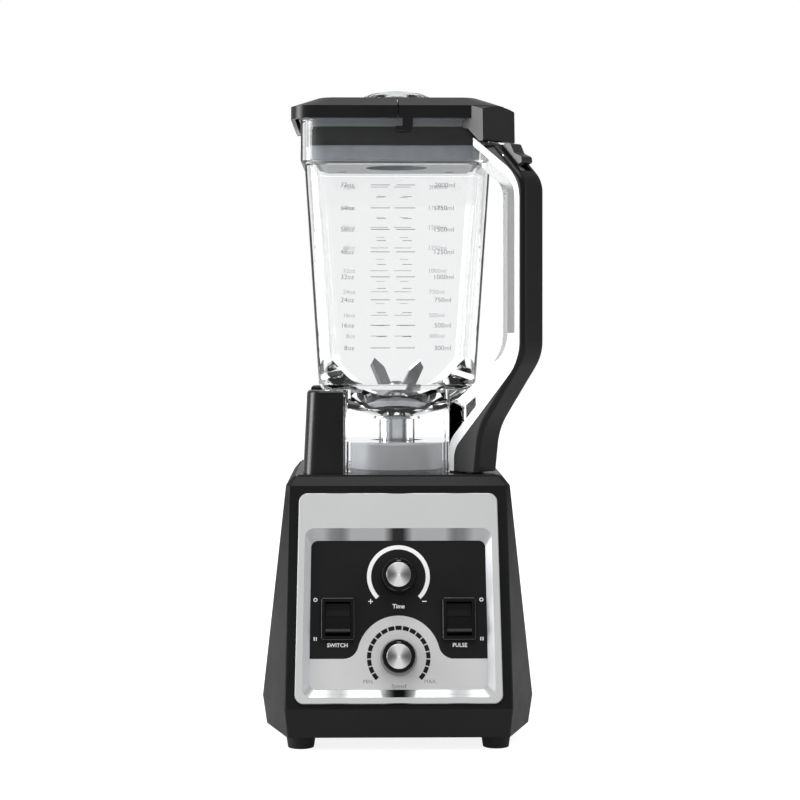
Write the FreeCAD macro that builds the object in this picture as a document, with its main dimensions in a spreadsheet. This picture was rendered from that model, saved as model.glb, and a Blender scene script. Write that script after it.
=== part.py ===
"""Countertop blender: motor base, square jug on a slanted grip, lid, and blade drive.

Frame: millimetres, +Z up, the front is -Y and the motor turns about Z at x = y = 0. z = 0 is the worktop.
Every driving size is a cell of the sheet `sizes`. Turned parts, pads and primitives are bound to it by
expressions. The lofted shells and the grip outlines read it through value().
"""
import FreeCAD, Part
import math
import os
import re
import Sketcher
from FreeCAD import Placement, Rotation, Vector

OUT_DIR = "parts"

# name: (value, what it is). Clearances are at the end.
SIZES = {
    # base
    "foot_height": (10.0, "rubber foot below the tray"),
    "foot_radius": (9.5, "foot at the worktop"),
    "foot_flare": (1.5, "how much wider the foot is at the tray"),
    "foot_side": (71.0, "foot centre, sideways"),
    "foot_front": (103.0, "foot centre, front and back"),
    "foot_stub": (4.0, "radius of the stub that plugs into the tray"),
    "tray_height": (21.0, "bottom tray"),
    "tray_flare": (3.0, "how much each side of the tray leans out"),
    "wall": (3.0, "moulded walls of tray and housing"),
    "front_half": (82.0, "half width of the front edge at the tray"),
    "side_half": (100.6, "half width at the tray"),
    "front_depth": (124.0, "front edge at the tray"),
    "side_depth": (70.0, "where the flat side ends at the tray"),
    "housing_rise": (157.0, "height of the leaning walls"),
    "top_half": (83.0, "half width of the housing's top"),
    "top_depth": (84.0, "front of the housing's top"),
    "top_corner": (3.0, "corner facet of the housing's top"),
    "edge_round": (2.0, "rounding of the housing's upright edges"),
    "deck_bevel": (5.0, "bevel around the deck"),
    "deck_rise": (6.4, "height of that bevel"),
    "deck_wall": (4.0, "thickness of the deck"),
    "boss_side": (87.0, "tray screw, sideways"),
    "boss_front": (58.0, "tray screw, front and back"),
    "boss_radius": (6.0, "tray screw boss"),
    "screw_radius": (2.0, "tray screw"),
    "screw_head": (3.6, "tray screw head"),
    # jug seat
    "deck_plate": (1.2, "plate that carries the corner posts"),
    "post_rise": (63.0, "corner posts above the deck"),
    "post_low": (71.0, "outer face of a post at the deck"),
    "post_high": (68.0, "outer face of a post at its top"),
    "post_inner": (40.7, "inner faces of the posts"),
    "post_round": (12.0, "outer corner of a post"),
    "pedestal_radius": (36.0, "round pedestal that centres the jug"),
    "pedestal_well": (24.0, "well of the pedestal, around the drive socket"),
    "pedestal_rise": (20.6, "pedestal above the seat"),
    # control panel, along the leaning front face
    "bezel_low": (3.7, "bezel's lower edge up the face"),
    "bezel_high": (156.4, "bezel's upper edge up the face"),
    "bezel_half_low": (75.0, "half width of the bezel, lower"),
    "bezel_half_high": (73.0, "half width of the bezel, upper"),
    "bezel_proud": (1.5, "bezel above the housing"),
    "bezel_round": (6.5, "corners of the bezel"),
    "recess_low": (8.3, "recess edge, lower"),
    "recess_high": (130.4, "recess edge, upper"),
    "recess_half_low": (69.9, "recess half width, lower"),
    "recess_half_high": (68.4, "recess half width, upper"),
    "label_low": (14.0, "label, lower edge"),
    "label_high": (121.6, "label, upper edge"),
    "label_half_low": (64.65, "label half width, lower"),
    "label_half_high": (63.9, "label half width, upper"),
    "label_round": (5.0, "label corners"),
    "label_depth": (2.5, "label below the housing's face"),
    "label_thick": (1.0, "label plate"),
    "tub_floor": (2.5, "bezel floor behind the label"),
    "tub_half": (68.0, "bezel tub half width"),
    "tub_low": (10.5, "bezel tub, lower edge"),
    "tub_high": (127.5, "bezel tub, upper edge"),
    "silver_high": (36.0, "edge between dark and bright label"),
    "silver_arc": (30.3, "bright disc around the speed knob"),
    "silver_round": (11.0, "rounding where the two meet"),
    "time_up": (95.3, "time knob up the face"),
    "speed_up": (36.7, "speed knob up the face"),
    "knob_radius": (13.2, "knob skirt"),
    "knob_top": (11.4, "knob at its front edge"),
    "knob_front": (11.6, "knob front above the housing's face"),
    "knob_cap": (8.9, "metal cap in the knob"),
    "cap_proud": (0.9, "cap above the knob"),
    "stem_radius": (3.0, "knob stem"),
    "stem_length": (11.0, "knob stem behind the label"),
    "switch_side": (44.1, "switch centre, sideways"),
    "switch_up": (64.5, "switch centre up the face"),
    "frame_wide": (24.2, "switch frame flange"),
    "frame_tall": (30.6, "switch frame flange"),
    "frame_proud": (3.2, "flange above the label"),
    "window_wide": (18.4, "switch window"),
    "window_tall": (24.6, "switch window"),
    "collar_wall": (1.5, "switch frame collar"),
    "collar_depth": (12.0, "collar behind the housing's face"),
    "pivot_depth": (6.0, "rocker pivot behind the housing's face"),
    "rocker_radius": (12.0, "rocker ends about the pivot"),
    "pivot_radius": (1.5, "rocker pivot stub"),
    "switch_body": (18.0, "depth of the switch bodies"),
    "pot_radius": (9.0, "potentiometer body"),
    "pot_depth": (12.0, "potentiometer body"),
    "board_half": (31.0, "control board half width"),
    "board_tall": (92.0, "control board"),
    "board_thick": (1.6, "control board"),
    # motor, heights above the worktop
    "shaft_radius": (4.0, "motor shaft"),
    "shaft_low_rise": (-138.6, "lower end of the motor shaft, above the seat"),
    "low_bearing_rise": (-135.6, "lower bearing, above the seat"),
    "high_bearing_rise": (-29.6, "upper bearing, above the seat"),
    "bearing_height": (8.0, "both motor bearings"),
    "bearing_radius": (11.0, "both motor bearings"),
    "bracket_radius": (46.0, "motor brackets"),
    "bracket_thick": (4.0, "motor brackets"),
    "stay_radius": (3.0, "stays between the brackets"),
    "stay_ring": (42.0, "circle of the stays"),
    "stator_low_rise": (-83.6, "stator stack, above the seat"),
    "stator_height": (38.0, "stator stack"),
    "stator_radius": (38.0, "stator stack"),
    "stator_bore": (24.0, "stator bore"),
    "coil_height": (7.0, "field coils beyond the stack"),
    "rotor_radius": (23.4, "rotor core"),
    "comm_low_rise": (-107.6, "commutator, above the seat"),
    "comm_height": (14.0, "commutator"),
    "comm_radius": (12.0, "commutator"),
    "fan_low_rise": (-123.6, "cooling fan, above the seat"),
    "fan_height": (12.0, "cooling fan"),
    "fan_radius": (34.0, "cooling fan"),
    "damper_radius": (6.0, "rubber mounts of the motor"),
    "gland_bore": (3.9, "cord gland"),
    "gland_radius": (6.0, "gland in its hole"),
    "gland_flange": (8.0, "gland flange"),
    "gland_out": (5.0, "gland beyond its boss"),
    "gland_in": (14.0, "gland inside the tray"),
    "gland_height": (20.5, "gland axis above the worktop"),
    "grille_half": (30.0, "rear grille half width"),
    "grille_low": (60.0, "rear grille, lower edge up the back"),
    "grille_high": (96.0, "rear grille, upper edge up the back"),
    "grille_slot": (2.2, "half of a grille slot's height"),
    # jug
    "skirt_half": (57.0, "skirt, flat faces"),
    "skirt_arm": (39.4, "skirt between the posts, half width"),
    "jug_wall": (4.0, "jug walls"),
    "skirt_top_rise": (62.4, "underside of the jug's body above the posts, above the seat"),
    "jug_low_half": (59.5, "jug at its lower end"),
    "jug_low_rise": (66.4, "where the jug's walls begin, above the seat"),
    "jug_half": (70.0, "jug below the shoulder"),
    "jug_shoulder_rise": (231.4, "jug shoulder, above the seat"),
    "shoulder_rise": (3.0, "height of the shoulder"),
    "collar_step": (3.0, "collar beyond the jug's walls"),
    "rim_height_rise": (264.6, "rim of the jug, above the seat"),
    "jug_round": (17.0, "upright corners of the jug"),
    "bowl_radius": (77.5, "dished floor inside the jug, its radius where it turns upright"),
    "bowl_deep": (69.3, "depth of that dish"),
    "bowl_low_rise": (38.2, "lowest point of that dish, above the seat"),
    "floor_under_rise": (22.4, "underside of the jug's thick floor, above the seat"),
    "spout_out": (1.76, "spout lip beyond the collar's square corner"),
    "spout_low_rise": (251.4, "lower edge of the spout lip, above the seat"),
    "spout_half": (13.0, "half width of the spout lip"),
    # grip, in the upright plane at 45 degrees
    "grip_half": (12.0, "half width of the grip"),
    "finger_room": (28.85, "room between the jug's corner and the grip"),
    "core_deep": (11.2, "clear core, inwards to outwards"),
    "trim_deep": (4.4, "trim strip, inwards to outwards"),
    "grip_deep": (4.0, "dark grip beyond the trim strip"),
    "grip_round": (3.6, "rounding of the grip's long edges"),
    "grip_top_rise": (244.9, "top of the grip below the lid, above the seat"),
    "grip_foot_rise": (1.4, "foot of the grip, above the seat"),
    "foot_core": (10.4, "clear core at the foot, beyond the skirt's inner corner"),
    "foot_trim": (5.8, "trim strip at the foot"),
    "foot_grip": (22.5, "dark grip at the foot"),
    "lever_half": (6.0, "half width of the thumb lever"),
    "lever_pin_back": (1.3, "lever pin inside the grip's inner face"),
    "lever_pin_up_rise": (235.6, "lever pin, above the seat"),
    "lever_pin": (1.2, "lever pin"),
    # blade drive
    "blade_shaft": (3.5, "blade shaft"),
    "hub_floor_rise": (38.9, "flat that the bearing housing sits on, above the seat"),
    "seal_thick": (2.0, "floor seal"),
    "flange_radius": (18.0, "bearing housing flange"),
    "flange_thick": (3.0, "bearing housing flange"),
    "barrel_radius": (14.0, "bearing housing barrel"),
    "barrel_low_rise": (16.4, "lower end of the barrel, above the seat"),
    "cone_low_rise": (45.4, "where the cone begins, above the seat"),
    "cone_top_rise": (56.0, "top of the bearing housing, above the seat"),
    "cone_radius": (7.0, "bearing housing at its top"),
    "blade_bearing": (9.0, "blade bearings"),
    "blade_bearing_height": (6.0, "blade bearings"),
    "nut_across": (21.0, "hub nut, centre to corner"),
    "nut_height": (5.0, "hub nut"),
    "hub_radius": (8.0, "blade hub"),
    "hub_height": (6.0, "blade hub"),
    "blade_reach": (37.0, "blade tip from the axis"),
    "blade_wide": (11.0, "blade at its root"),
    "blade_thick": (1.8, "blade"),
    "acorn_radius": (5.6, "blade nut"),
    "acorn_height": (4.6, "blade nut"),
    "driver_across": (7.0, "hexagonal driver, centre to corner"),
    "driver_low_rise": (6.4, "lower end of the driver, above the seat"),
    "socket_low_rise": (1.8, "lower end of the drive socket, above the seat"),
    "socket_high_rise": (14.0, "upper end of the drive socket, above the seat"),
    "socket_radius": (12.5, "drive socket"),
    # lid
    "lid_overhang": (7.0, "lid beyond the collar"),
    "lid_band": (9.3, "upright band around the lid"),
    "lid_rise": (8.0, "bevel above the band"),
    "lid_inset": (19.5, "width of that bevel"),
    "lid_round": (18.0, "corners of the lid"),
    "lid_wall": (3.0, "lid walls"),
    "lid_slit": (1.0, "slit between the halves of the lid"),
    "lobe_half": (18.0, "half width of the lobe over the grip"),
    "lobe_back": (7.14, "lobe inside the lid's square corner"),
    "lobe_low_rise": (247.4, "underside of the lobe, above the seat"),
    "post_inset": (30.0, "lid screw posts inside the plug, sideways and front to back"),
    "plug_top": (2.5, "plate of the plug under the lid"),
    "plug_ledge": (1.0, "plate of the plug beyond the collar"),
    "plug_room": (0.5, "plug inside the collar's inner walls"),
    "ring_deep": (7.5, "depth of the gasket's seat"),
    "plug_low_rise": (233.7, "lower end of the plug, above the seat"),
    "plug_taper": (2.0, "how much the plug narrows to its lower end"),
    "plug_wall": (3.0, "plug walls"),
    "band_low_rise": (259.4, "lower edge of the plug's upper band, above the seat"),
    "gasket_low_rise": (245.4, "lower edge of the black gasket, above the seat"),
    "seal_low_rise": (235.4, "lower edge of the grey seal, above the seat"),
    "filler_radius": (24.0, "filler hole through the lid"),
    "filler_wall": (2.5, "tube around the filler hole"),
    "cap_radius": (30.0, "cap flange"),
    "cap_height": (10.6, "cap above the lid"),
    "cap_cup": (22.6, "cup below the cap"),
    "cap_wall": (2.4, "cap walls"),
    "cap_low_rise": (240.4, "lower end of the cap's cup, above the seat"),
    # clearances
    "gap": (0.3, "between pieces that move apart"),
    "fit": (0.05, "radial clearance of shafts and fixed seats"),
}

# Sizes that follow from others: name: (formula, what it is). Heights are above the worktop.
FOLLOWING = {
    "tray_top": ("foot_height + tray_height", "top of the tray"),
    "housing_top": ("tray_top + housing_rise", "top of the leaning walls"),
    "deck": ("housing_top + deck_rise", "deck"),
    "seat": ("deck + deck_plate", "what the jug sits on"),
    "skirt_low": ("seat + gap", "lower edge of the skirt"),
    "shaft_low": ("seat + shaft_low_rise", "lower end of the motor shaft"),
    "low_bearing": ("seat + low_bearing_rise", "lower bearing"),
    "high_bearing": ("seat + high_bearing_rise", "upper bearing"),
    "stator_low": ("seat + stator_low_rise", "stator stack"),
    "comm_low": ("seat + comm_low_rise", "commutator"),
    "fan_low": ("seat + fan_low_rise", "cooling fan"),
    "skirt_top": ("seat + skirt_top_rise", "underside of the jug's body above the posts"),
    "jug_low": ("seat + jug_low_rise", "where the jug's walls begin"),
    "jug_shoulder": ("seat + jug_shoulder_rise", "jug shoulder"),
    "rim_height": ("seat + rim_height_rise", "rim of the jug"),
    "bowl_low": ("seat + bowl_low_rise", "lowest point of the dished floor"),
    "bowl_brim": ("bowl_low + bowl_deep", "height where the dish turns upright"),
    "floor_under": ("seat + floor_under_rise", "underside of the jug's thick floor"),
    "spout_low": ("seat + spout_low_rise", "lower edge of the spout lip"),
    "lever_pin_up": ("seat + lever_pin_up_rise", "lever pin"),
    "hub_floor": ("seat + hub_floor_rise", "flat that the bearing housing sits on"),
    "barrel_low": ("seat + barrel_low_rise", "lower end of the barrel"),
    "cone_low": ("seat + cone_low_rise", "where the cone begins"),
    "cone_top": ("seat + cone_top_rise", "top of the bearing housing"),
    "driver_low": ("seat + driver_low_rise", "lower end of the driver"),
    "socket_low": ("seat + socket_low_rise", "lower end of the drive socket"),
    "socket_high": ("seat + socket_high_rise", "upper end of the drive socket"),
    "lobe_low": ("seat + lobe_low_rise", "underside of the lobe"),
    "plug_low": ("seat + plug_low_rise", "lower end of the plug"),
    "band_low": ("seat + band_low_rise", "lower edge of the plug's upper band"),
    "gasket_low": ("seat + gasket_low_rise", "lower edge of the black gasket"),
    "seal_low": ("seat + seal_low_rise", "lower edge of the grey seal"),
    "cap_low": ("seat + cap_low_rise", "lower end of the cap's cup"),
    "lid_low": ("rim_height + gap", "lower edge of the lid"),
    "lid_top": ("lid_low + lid_band + lid_rise", "top of the lid"),
    "collar_half": ("jug_half + collar_step", "half width of the jug's collar"),
    "spout_reach": ("collar_half * sqrt(2) + spout_out", "spout lip from the axis"),
    "grip_inner": ("(jug_half - jug_round) * sqrt(2) + jug_round + finger_room", "inner face of the grip"),
    "trim_inner": ("grip_inner + core_deep", "inner face of the trim strip"),
    "trim_outer": ("trim_inner + trim_deep", "outer face of the trim strip"),
    "grip_outer": ("trim_outer + grip_deep", "outer face of the grip"),
    "lever_pin_out": ("grip_inner - lever_pin_back", "lever pin from the axis"),
    "lid_half": ("collar_half + lid_overhang", "half width of the lid"),
    "lobe_reach": ("lid_half * sqrt(2) - lobe_back", "lobe from the axis"),
    "plug_plate": ("collar_half + plug_ledge", "half width of the plug's plate"),
    "plug_half": ("collar_half - jug_wall - plug_room", "half width of the plug"),
    "plug_core": ("plug_half - ring_deep", "plug core inside the seals"),
    "plug_low_half": ("plug_core - plug_taper", "plug at its lower end"),
    "lid_post": ("plug_plate - post_inset - plug_ledge", "lid screw, sideways and front to back"),
    "skirt_corner": ("skirt_arm * sqrt(2)", "inner corner of the skirt, where the foot of the grip begins"),
    "foot_core_out": ("skirt_corner + foot_core", "clear core at the foot, from the axis"),
    "foot_trim_out": ("foot_core_out + foot_trim", "trim strip at the foot, from the axis"),
    "foot_grip_out": ("foot_trim_out + foot_grip", "dark grip at the foot, from the axis"),
}

doc = FreeCAD.newDocument("countertop_blender")
sheet = doc.addObject("Spreadsheet::Sheet", "sizes")


def fill_sheet():
    """Name, value or formula, and meaning, one row each."""
    rows = [(name, str(number), meaning) for name, (number, meaning) in SIZES.items()]
    rows += [(name, "=" + formula, meaning) for name, (formula, meaning) in FOLLOWING.items()]
    for row, (name, content, meaning) in enumerate(rows, start=1):
        sheet.set("A%d" % row, name)
        sheet.set("B%d" % row, content)
        sheet.set("C%d" % row, meaning)
        sheet.setAlias("B%d" % row, name)
    doc.recompute()


def value(name):
    """One size read from the sheet."""
    return float(sheet.get(name))


def link(text):
    """The expression with each size name written as a cell of the sheet."""
    def cell(word):
        name = word.group(0)
        return "sizes." + name if name in SIZES or name in FOLLOWING else name
    return re.sub(r"[a-z_]+", cell, str(text))


fill_sheet()

TRAY_LOW = value("foot_height")
TRAY_TOP, HOUSING_TOP, DECK, SEAT = value("tray_top"), value("housing_top"), value("deck"), value("seat")
SKIRT_LOW, LID_LOW, LID_TOP = value("skirt_low"), value("lid_low"), value("lid_top")
LEAN = math.degrees(math.atan2(value("front_depth") - value("top_depth"), value("housing_rise")))
# Cutting tools that go right through reach from the first of these heights to the second,
# and as far out as the third.
FAR_LOW, FAR_HIGH, FAR_OUT = 0.0, 800.0, 250.0

# The panel's own frame: x across, y up the leaning face, z out of it.
# The back has the same, turned half round.
PANEL = Placement(Vector(0, -value("front_depth"), TRAY_TOP), Rotation(Vector(1, 0, 0), 90 - LEAN))
BACK = Placement(Vector(0, 0, 0), Rotation(Vector(0, 0, 1), 180)).multiply(PANEL)
# The grip's own frame: x out along the diagonal, y up, z across the grip.
GRIP_TURN = -45.0
GRIP = Placement(Vector(0, 0, 0), Rotation(Vector(0, 0, 1),
                                           GRIP_TURN).multiply(Rotation(Vector(1, 0, 0), 90)))


# ---------------------------------------------------------------- parametric helpers
def place(item, at=None, turn=None):
    """Bind an object's position to expressions, with a fixed rotation (axis, degrees)."""
    if turn:
        item.Placement = Placement(Vector(0, 0, 0), Rotation(Vector(*turn[0]), turn[1]))
    for letter, text in zip("xyz", at or ()):
        item.setExpression(".Placement.Base." + letter, link(text))
    return item


def primitive(kind, name, at=None, turn=None, **sizes):
    """A Part primitive whose sizes are expressions."""
    item = doc.addObject("Part::" + kind, name)
    for prop, text in sizes.items():
        item.setExpression(prop, link(text))
    return place(item, at, turn)


def cylinder(name, radius, height, at=None, turn=None):
    return primitive("Cylinder", name, at, turn, Radius=radius, Height=height)


def slab(name, wide, deep, tall, at):
    """A box centred on `at` in x and y, standing on it in z."""
    low = ("%s - (%s) / 2" % (at[0], wide), "%s - (%s) / 2" % (at[1], deep), at[2])
    return primitive("Box", name, low, None, Length=wide, Width=deep, Height=tall)


def hexagon(name, across, height, at=None):
    item = doc.addObject("Part::Prism", name)
    item.Polygon = 6
    item.setExpression("Circumradius", link(across))
    item.setExpression("Height", link(height))
    return place(item, at)


def cut(name, base, *tools):
    """Base less its tools, one after the other."""
    for number, tool in enumerate(tools, start=1):
        last = number == len(tools)
        item = doc.addObject("Part::Cut", name if last else "%s_cut%d" % (name, number))
        item.Base = base
        item.Tool = tool
        base = item
    return base


def group(name, *shapes):
    """Several separate solids kept as one node."""
    item = doc.addObject("Part::Compound", name)
    item.Links = list(shapes)
    return item


def outline_sketch(body, name, plane, points):
    """A closed polygon whose corners are bound to expressions."""
    sketch = body.newObject("Sketcher::SketchObject", name)
    origin = [item for item in body.Origin.OriginFeatures if item.Role == plane][0]
    sketch.AttachmentSupport = [(origin, "")]
    sketch.MapMode = "FlatFace"
    count = len(points)
    for number in range(count):
        start = Vector(number + 1, number * number + 1, 0)
        end = Vector(number + 2, (number + 1) ** 2 + 1, 0)
        sketch.addGeometry(Part.LineSegment(start, end), False)
    for number in range(count):
        sketch.addConstraint(Sketcher.Constraint("Coincident", number, 2, (number + 1) % count, 1))
    for number, corner in enumerate(points):
        for kind, text in zip(("DistanceX", "DistanceY"), corner):
            spot = sketch.addConstraint(Sketcher.Constraint(kind, -1, 1, number, 1, number + 1.0))
            sketch.setExpression("Constraints[%d]" % spot, link(text))
    return sketch


def turned(name, profile, at=None, turn=None):
    """A body turned about its own z axis from (radius, height) corners."""
    body = doc.addObject("PartDesign::Body", name)
    sketch = outline_sketch(body, name + "_profile", "XZ_Plane", profile)
    revolution = body.newObject("PartDesign::Revolution", name + "_turned")
    revolution.Profile = sketch
    revolution.ReferenceAxis = (sketch, ["V_Axis"])
    revolution.Angle = 360
    return place(body, at, turn)


# ---------------------------------------------------------------- shapes without a primitive
def rounded_wire(corners, height=0.0):
    """A closed wire of straight runs and tangent arcs through (x, y, radius) corners, at one height."""
    points = [Vector(corner[0], corner[1], height) for corner in corners]
    runs = []
    for number, corner in enumerate(corners):
        here = points[number]
        back = (points[number - 1] - here).normalize()
        ahead = (points[(number + 1) % len(points)] - here).normalize()
        half = back.getAngle(ahead) / 2
        reach = corner[2] / math.tan(half)
        middle = here + (back + ahead).normalize() * (corner[2] / math.sin(half) - corner[2])
        runs.append((here + back * reach, middle, here + ahead * reach, corner[2]))
    edges = []
    for number, (start, middle, end, radius) in enumerate(runs):
        if radius > 0:
            edges.append(Part.Arc(start, middle, end).toShape())
        following = runs[(number + 1) % len(runs)][0]
        if (following - end).Length > 1e-6:
            edges.append(Part.LineSegment(end, following).toShape())
    return Part.Wire(edges)


def lofted(*wires):
    """A solid with straight sides between the wires."""
    return Part.makeLoft(list(wires), True, True)


def square(half, radius, height, deep=None):
    """A rounded square wire about the axis."""
    deep = half if deep is None else deep
    return rounded_wire([(-half, -deep, radius), (half, -deep, radius), (half, deep, radius),
                         (-half, deep, radius)],
                        height)


def mirrored_eight(front_half, front, side_half, side, radius, height):
    """The base's plan: an eight-sided outline, alike in all four quarters."""
    quarter = [(front_half, -front), (side_half, -side), (side_half, side), (front_half, front)]
    points = quarter + [(-x, y) for x, y in reversed(quarter)]
    return rounded_wire([(x, y, radius) for x, y in points], height)


def rounded_plate(half_low, half_high, low, high, radius, start, end):
    """A plate with four rounded corners in the panel's frame, from depth start to depth end."""
    corners = [(-half_low, low, radius), (half_low, low, radius), (half_high, high, radius),
               (-half_high, high, radius)]
    face = Part.Face(rounded_wire(corners, start))
    return face.extrude(Vector(0, 0, end - start))


def side_extrusion(corners, half):
    """An outline in the grip's plane, extruded to both sides by half."""
    return Part.Face(rounded_wire(corners, -half)).extrude(Vector(0, 0, 2 * half))


def drum(radius, low, high, x=0.0, y=0.0):
    """A plain upright cylinder between two heights."""
    return Part.makeCylinder(radius, high - low, Vector(x, y, low))


def block(x_low, x_high, y_low, y_high, z_low, z_high):
    return Part.makeBox(x_high - x_low, y_high - y_low, z_high - z_low, Vector(x_low, y_low, z_low))


def feature(name, shape, placement=None):
    """A named document object that holds a finished shape."""
    item = doc.addObject("Part::Feature", name)
    item.Shape = shape.removeSplitter() if shape.ShapeType != "Compound" else shape
    if placement:
        item.Placement = placement
    return item


def four_corners(x, y):
    return [(sx * x, sy * y) for sx in (-1, 1) for sy in (-1, 1)]


# ---------------------------------------------------------------- base
def housing_wall(inset, grow_low=0.0, grow_high=0.0):
    """The leaning walls as a solid, moved in by inset, and carried past their ends by the grow values."""
    lean = (value("front_depth") - value("top_depth")) / value("housing_rise")
    side_lean = (value("side_half") - value("top_half")) / value("housing_rise")
    corner = value("top_corner")
    low = mirrored_eight(value("front_half") - inset, value("front_depth") - inset + lean * grow_low,
                         value("side_half") - inset + side_lean * grow_low, value("side_depth") - inset * 0.4,
                         value("edge_round"), TRAY_TOP - grow_low)
    high = mirrored_eight(value("top_half") - inset - corner, value("top_depth") - inset - lean * grow_high,
                          value("top_half") - inset - side_lean * grow_high,
                          value("top_depth") - inset - corner, value("edge_round") * 0.5,
                          HOUSING_TOP + grow_high)
    return lofted(low, high)


def tray_solid(inset, low, high):
    """The tray's outline between two heights, moved in by inset."""
    def ring(height):
        lean = value("tray_flare") * (TRAY_TOP - height) / value("tray_height")
        return mirrored_eight(value("front_half") - inset * 0.7 - lean * 0.7,
                              value("front_depth") - inset - lean,
                              value("side_half") - inset - lean,
                              value("side_depth") - inset * 0.4 - lean * 0.4,
                              value("edge_round"), height)
    return lofted(ring(low), ring(high))


def make_base_housing():
    """Leaning walls, deck, screw bosses, the panel opening, the rear opening and the hole for the drive."""
    wall = value("wall")
    deck_low = mirrored_eight(value("top_half") - value("top_corner"), value("top_depth"), value("top_half"),
                              value("top_depth") - value("top_corner"), 1.0, HOUSING_TOP)
    bevel = value("deck_bevel")
    deck_high = mirrored_eight(value("top_half") - value("top_corner") - bevel, value("top_depth") - bevel,
                               value("top_half") - bevel, value("top_depth") - value("top_corner") - bevel,
                               1.0, DECK)
    shell = housing_wall(0).fuse(lofted(deck_low, deck_high))
    room = housing_wall(wall, grow_low=1.0)
    under = value("top_half") - wall - bevel
    room = room.fuse(block(-under, under, -under, under, HOUSING_TOP - 1, DECK - value("deck_wall")))
    shell = shell.cut(room)
    for x, y in four_corners(value("boss_side"), value("boss_front")):
        rib = block(min(x, 2 * x), max(x, 2 * x), y - wall / 2, y + wall / 2, TRAY_TOP, TRAY_TOP + 45)
        boss = drum(value("boss_radius"), TRAY_TOP, TRAY_TOP + 45, x, y).fuse(rib).common(housing_wall(1.0))
        shell = shell.fuse(boss).cut(drum(value("screw_radius"), TRAY_TOP - 1, TRAY_TOP + 30, x, y))
    gap = value("gap")
    window = rounded_plate(value("tub_half") + gap, value("tub_half") + gap, value("tub_low") - gap,
                           value("tub_high") + gap, value("label_round") + gap, -30, 2)
    window.Placement = PANEL
    vent = rounded_plate(value("grille_half") + gap, value("grille_half") + gap, value("grille_low") - gap,
                         value("grille_high") + gap, 2.0, -20, 2)
    vent.Placement = BACK
    hole = drum(value("shaft_radius") + 3 * gap, DECK - 20, DECK + 1)
    return feature("base_housing", shell.cut(window).cut(vent).cut(hole))


def make_bottom_tray():
    """Closed below, with air slots under the fan, screw tubes, foot holes and the boss of the cord gland."""
    floor = TRAY_LOW + value("wall")
    shell = tray_solid(0, TRAY_LOW, TRAY_TOP).cut(tray_solid(value("wall"), floor, TRAY_TOP + 1))
    for x, y in four_corners(value("boss_side"), value("boss_front")):
        shell = shell.fuse(drum(value("boss_radius"), TRAY_LOW, TRAY_TOP, x, y))
        shell = shell.cut(drum(value("screw_radius") + value("fit"), TRAY_LOW - 1, TRAY_TOP + 1, x, y))
        shell = shell.cut(drum(value("screw_head") + value("gap"), TRAY_LOW - 1, TRAY_LOW + 6, x, y))
    for x, y in four_corners(value("foot_side"), value("foot_front")):
        shell = shell.cut(drum(value("foot_stub") + value("fit"), TRAY_LOW - 1, floor + 1, x, y))
    for number in range(-4, 5):
        shell = shell.cut(block(number * 9 - 2, number * 9 + 2, -30, 30, TRAY_LOW - 1, floor + 1))
    height = value("gland_height")
    rear = value("front_depth")
    along = Vector(0, 1, 0)
    boss = Part.makeCylinder(value("gland_flange") + 1, 6, Vector(0, rear - 5.5, height), along)
    hole = Part.makeCylinder(value("gland_radius") + value("fit"), 30, Vector(0, rear - 20, height), along)
    return feature("bottom_tray", shell.fuse(boss).cut(hole))


def make_rubber_feet():
    """Four flared feet, each with a stub and a rim that hold it in the tray."""
    feet = []
    for number, (x, y) in enumerate(four_corners(1, 1)):
        profile = [("0", "0"), ("foot_radius", "0"), ("foot_radius + foot_flare", "foot_height"),
                   ("foot_stub", "foot_height"), ("foot_stub", "foot_height + wall"),
                   ("foot_stub + 1.5", "foot_height + wall"), ("foot_stub", "foot_height + wall + 2.5"),
                   ("0", "foot_height + wall + 2.5")]
        feet.append(turned("foot_%d" % (number + 1), profile,
                           ("%d * foot_side" % x, "%d * foot_front" % y, "0")))
    return group("rubber_feet", *feet)


def make_tray_screws():
    """Four screws up through the tray into the housing."""
    screws = []
    for number, (x, y) in enumerate(four_corners(1, 1)):
        profile = [("0", "0"), ("screw_head", "0"), ("screw_head", "2"), ("screw_radius - fit", "2"),
                   ("screw_radius - fit", "36"), ("0", "36")]
        screws.append(turned("screw_%d" % (number + 1), profile,
                             ("%d * boss_side" % x, "%d * boss_front" % y, "foot_height + 4")))
    return group("tray_screws", *screws)


def make_cord_gland():
    """A bushing out of the back of the tray, with the hole that the cord goes through."""
    profile = [("gland_bore", "0"), ("gland_radius", "0"), ("gland_radius", "gland_in + 0.5"),
               ("gland_flange", "gland_in + 0.5"), ("gland_flange - 1", "gland_in + gland_out"),
               ("gland_bore", "gland_in + gland_out")]
    return turned("cord_gland", profile, ("0", "front_depth - gland_in", "gland_height"), ((1, 0, 0), -90))


def make_rear_vent_grille():
    """A slotted plate flush in the back of the housing."""
    plate = rounded_plate(value("grille_half"), value("grille_half"), value("grille_low"),
                          value("grille_high"),
                          1.7, -value("wall"), 0)
    count = 5
    pitch = (value("grille_high") - value("grille_low")) / count
    for number in range(count):
        middle = value("grille_low") + pitch * (number + 0.5)
        half = value("grille_half") - 5
        plate = plate.cut(block(-half, half, middle - value("grille_slot"), middle + value("grille_slot"),
                                -9, 1))
    return feature("rear_vent_grille", plate, BACK)


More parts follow.
